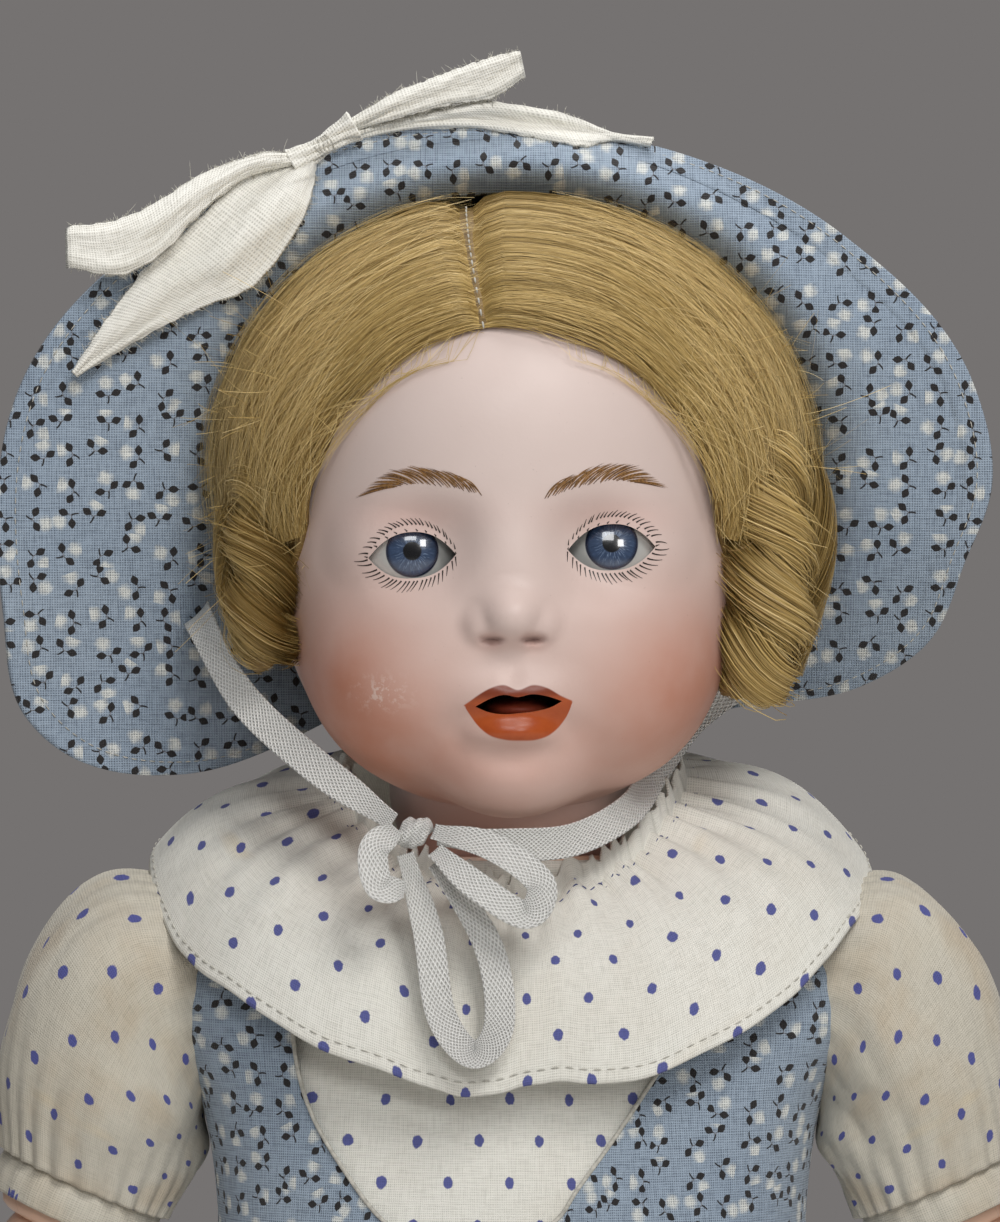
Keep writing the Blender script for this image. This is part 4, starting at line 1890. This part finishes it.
def foot_form(ease, lift, rows=70, around=64):
    """The foot's round lengthwise form, a little larger all round by ease."""
    first, last = FOOT[0][0] - ease, FOOT[-1][0] + ease
    t = np.linspace(0, 1, rows)
    far = mix(first, last, t)
    row = spline(FOOT, np.clip(far, FOOT[0][0], FOOT[-1][0]))
    blunt = np.sqrt(np.clip(1 - (2 * t - 1) ** 14, 0.004, 1))
    shut = blunt * np.clip(np.minimum(t, 1 - t) * 14, 0.12, 1) ** 0.5
    turn = circle(around)
    c, s = np.cos(turn), np.sin(turn)
    x = ((row[:, 0] + ease) * shut)[:, None] * np.sign(c) * np.abs(c) ** 0.75
    up = ((row[:, 1] + ease) * mix(0.35, 1, shut))[:, None]
    z = lift + up * (0.5 + 0.5 * np.sign(s) * np.abs(s) ** 0.7)
    y = np.broadcast_to(BODY_Y - far[:, None], x.shape)
    points = stacked(x, y, z).reshape(-1, 3)
    return points, ring_faces(rows - 1, around, flip=True)


for name, side in SIDES.items():
    at = np.array([side * LEG_X, BODY_Y, 0])
    p, f = lathe(THIGH)
    relief = ellipsoid((0, 17.5, -78), (15, 12, 15), 40, 24)
    p, f = carved(p, f, [relief])
    limb("thigh", name, p + at + [0, 0, HIP_Z], f)
    p, f = lathe(SHIN)
    shin = (p + [0, 0, KNEE_Z], f)
    foot = foot_form(0, FLOOR_Z)
    p, f = joined([shin, (foot[0] - [0, BODY_Y, 0], foot[1])])
    limb("shin", name, p + at, f)


def sock(u, v):
    turn = 2 * np.pi * u
    z = mix(17.0, 41.5, v)
    far = spline([[0, 10.6], [0.3, 9.6], [0.58, 9.9], [0.66, 10.9], [0.95, 11.3], [1, 10.7]], v)[..., 0]
    far = far + 0.18 * np.sin(40 * turn) * smooth((v - 0.6) / 0.1) + 0.25 * ripple(turn, v * 5, 3)
    return stacked(far * np.sin(turn), BODY_Y - far * np.cos(turn), z)


def shoe_sole():
    """A flat sole a little wider than the foot."""
    first, last = FOOT[0][0] - 2.3, FOOT[-1][0] + 2.3
    far = mix(first, last, (1 - np.cos(np.linspace(0, np.pi, 48))) / 2)
    half = spline(FOOT, np.clip(far, FOOT[0][0], FOOT[-1][0]))[:, 0] + 2.2
    shut = np.sqrt(np.clip(1 - np.abs(2 * (far - first) / (last - first) - 1) ** 9, 0, 1))
    ring = np.concatenate([stacked(half * shut, -far), stacked(-half * shut, -far)[::-1][1:-1]])
    n = len(ring)
    p = np.concatenate([np.column_stack([ring, np.full(n, z)]) for z in (0.0, 2.6)]) + [0, BODY_Y, 0]
    return p, ring_faces(1, n)


for name, side in SIDES.items():
    at = np.array([side * LEG_X, 0, 0])
    points, faces, uv = cloth(sock, 120, 40, 0.9, True, (64.0, 24.0))
    put(f"sock_knit_{name}", points + at, faces, knit, f"shin_{name}", [f"sock_{name}"], "cotton", uv)
    p, f = foot_form(1.9, 1.6)
    opening = ellipsoid((0, BODY_Y - 2, 20), (9.4, 13.5, 9.5), 48, 28)
    p, f = carved(p, f, [foot_form(0.5, FLOOR_Z - 0.2), opening])
    shoe = put(f"shoe_upper_{name}", p + at, f, leather, f"shin_{name}", [f"shoe_{name}"], "leather")
    crease(shoe, 50)
    p, f = shoe_sole()
    sole = put(f"shoe_sole_{name}", p + at, f, leather, f"shin_{name}", [f"shoe_{name}"], "leather")
    crease(sole, 40)


# What each free ribbon and each cut of cloth is: real length, or flat size, and how it is held
def along(path):
    return float(np.linalg.norm(np.diff(path, axis=0), axis=1).sum()) * MM


for name in TIE_BENDS:
    obj, path = tie_objects[name]
    if name == "hat_tie_left":
        path = path[::-1]

# Floor and light
FLOOR_R = 2200
FLOOR_SIDES = 96
FLOOR_DROP = 0.05  # keeps the floor just clear of the soles
LIGHTS_AIM_UP = 0.31
AMBIENT = (0.11, 0.11, 0.115, 1)
BACKDROP = (117, 114, 113)
floor_look = Look("floor", Roughness=0.8)
mottle = floor_look.noise(floor_look.place(), 0.01, 2.0)
floor_look.base(floor_look.mix(mottle, srgb(212, 210, 206), srgb(220, 218, 214)))
ring = circle(FLOOR_SIDES)
disc = stacked(FLOOR_R * np.cos(ring), FLOOR_R * np.sin(ring), 0 * ring - FLOOR_DROP)
floor = put("floor", disc, [list(range(FLOOR_SIDES))], floor_look.material)


def softbox(name, place, size, power, colour):
    """An area light aimed at the doll's head."""
    light = bpy.data.lights.new(name, "AREA")
    light.shape = "RECTANGLE"
    light.size, light.size_y = size
    light.energy = power
    light.color = colour
    obj = bpy.data.objects.new(name, light)
    obj.location = place
    aim = np.array([0, 0, LIGHTS_AIM_UP]) - np.array(place)
    obj.rotation_euler = (math.acos(-aim[2] / np.linalg.norm(aim)), 0, math.atan2(-aim[0], aim[1]))
    bpy.context.scene.collection.objects.link(obj)


LIGHTS = {  # place, width and height, power in watts, colour
    "light_key": ((0.40, -0.94, 1.2), (0.5, 0.5), 8.4, (1.0, 0.985, 0.965)),
    "light_near": ((0.34, -1.27, 0.60), (0.2, 0.24), 2.0, (1.0, 0.99, 0.98)),
    "light_above": ((-0.09, -1.25, 0.84), (0.4, 0.3), 3.0, (0.97, 0.985, 1.0)),
    "light_top": ((0.0, 0.2, 1.42), (0.9, 0.7), 8.0, (1.0, 1.0, 1.0)),
}
for name, light in LIGHTS.items():
    softbox(name, *light)

world = bpy.data.worlds.new("studio")
bpy.context.scene.world = world
world.use_nodes = True
nodes, links = world.node_tree.nodes, world.node_tree.links
back = nodes["Background"]
path = nodes.new("ShaderNodeLightPath")
seen = nodes.new("ShaderNodeMath")
seen.operation = "MAXIMUM"
links.new(path.outputs["Is Camera Ray"], seen.inputs[0])
links.new(path.outputs["Is Transmission Ray"], seen.inputs[1])
shown = nodes.new("ShaderNodeMix")
shown.data_type = "RGBA"
shown.inputs[6].default_value = AMBIENT
shown.inputs[7].default_value = srgb(*BACKDROP)
links.new(seen.outputs[0], shown.inputs[0])
links.new(shown.outputs[2], back.inputs["Color"])
back.inputs["Strength"].default_value = 1.0

scene = bpy.context.scene
scene.view_settings.view_transform = "Standard"
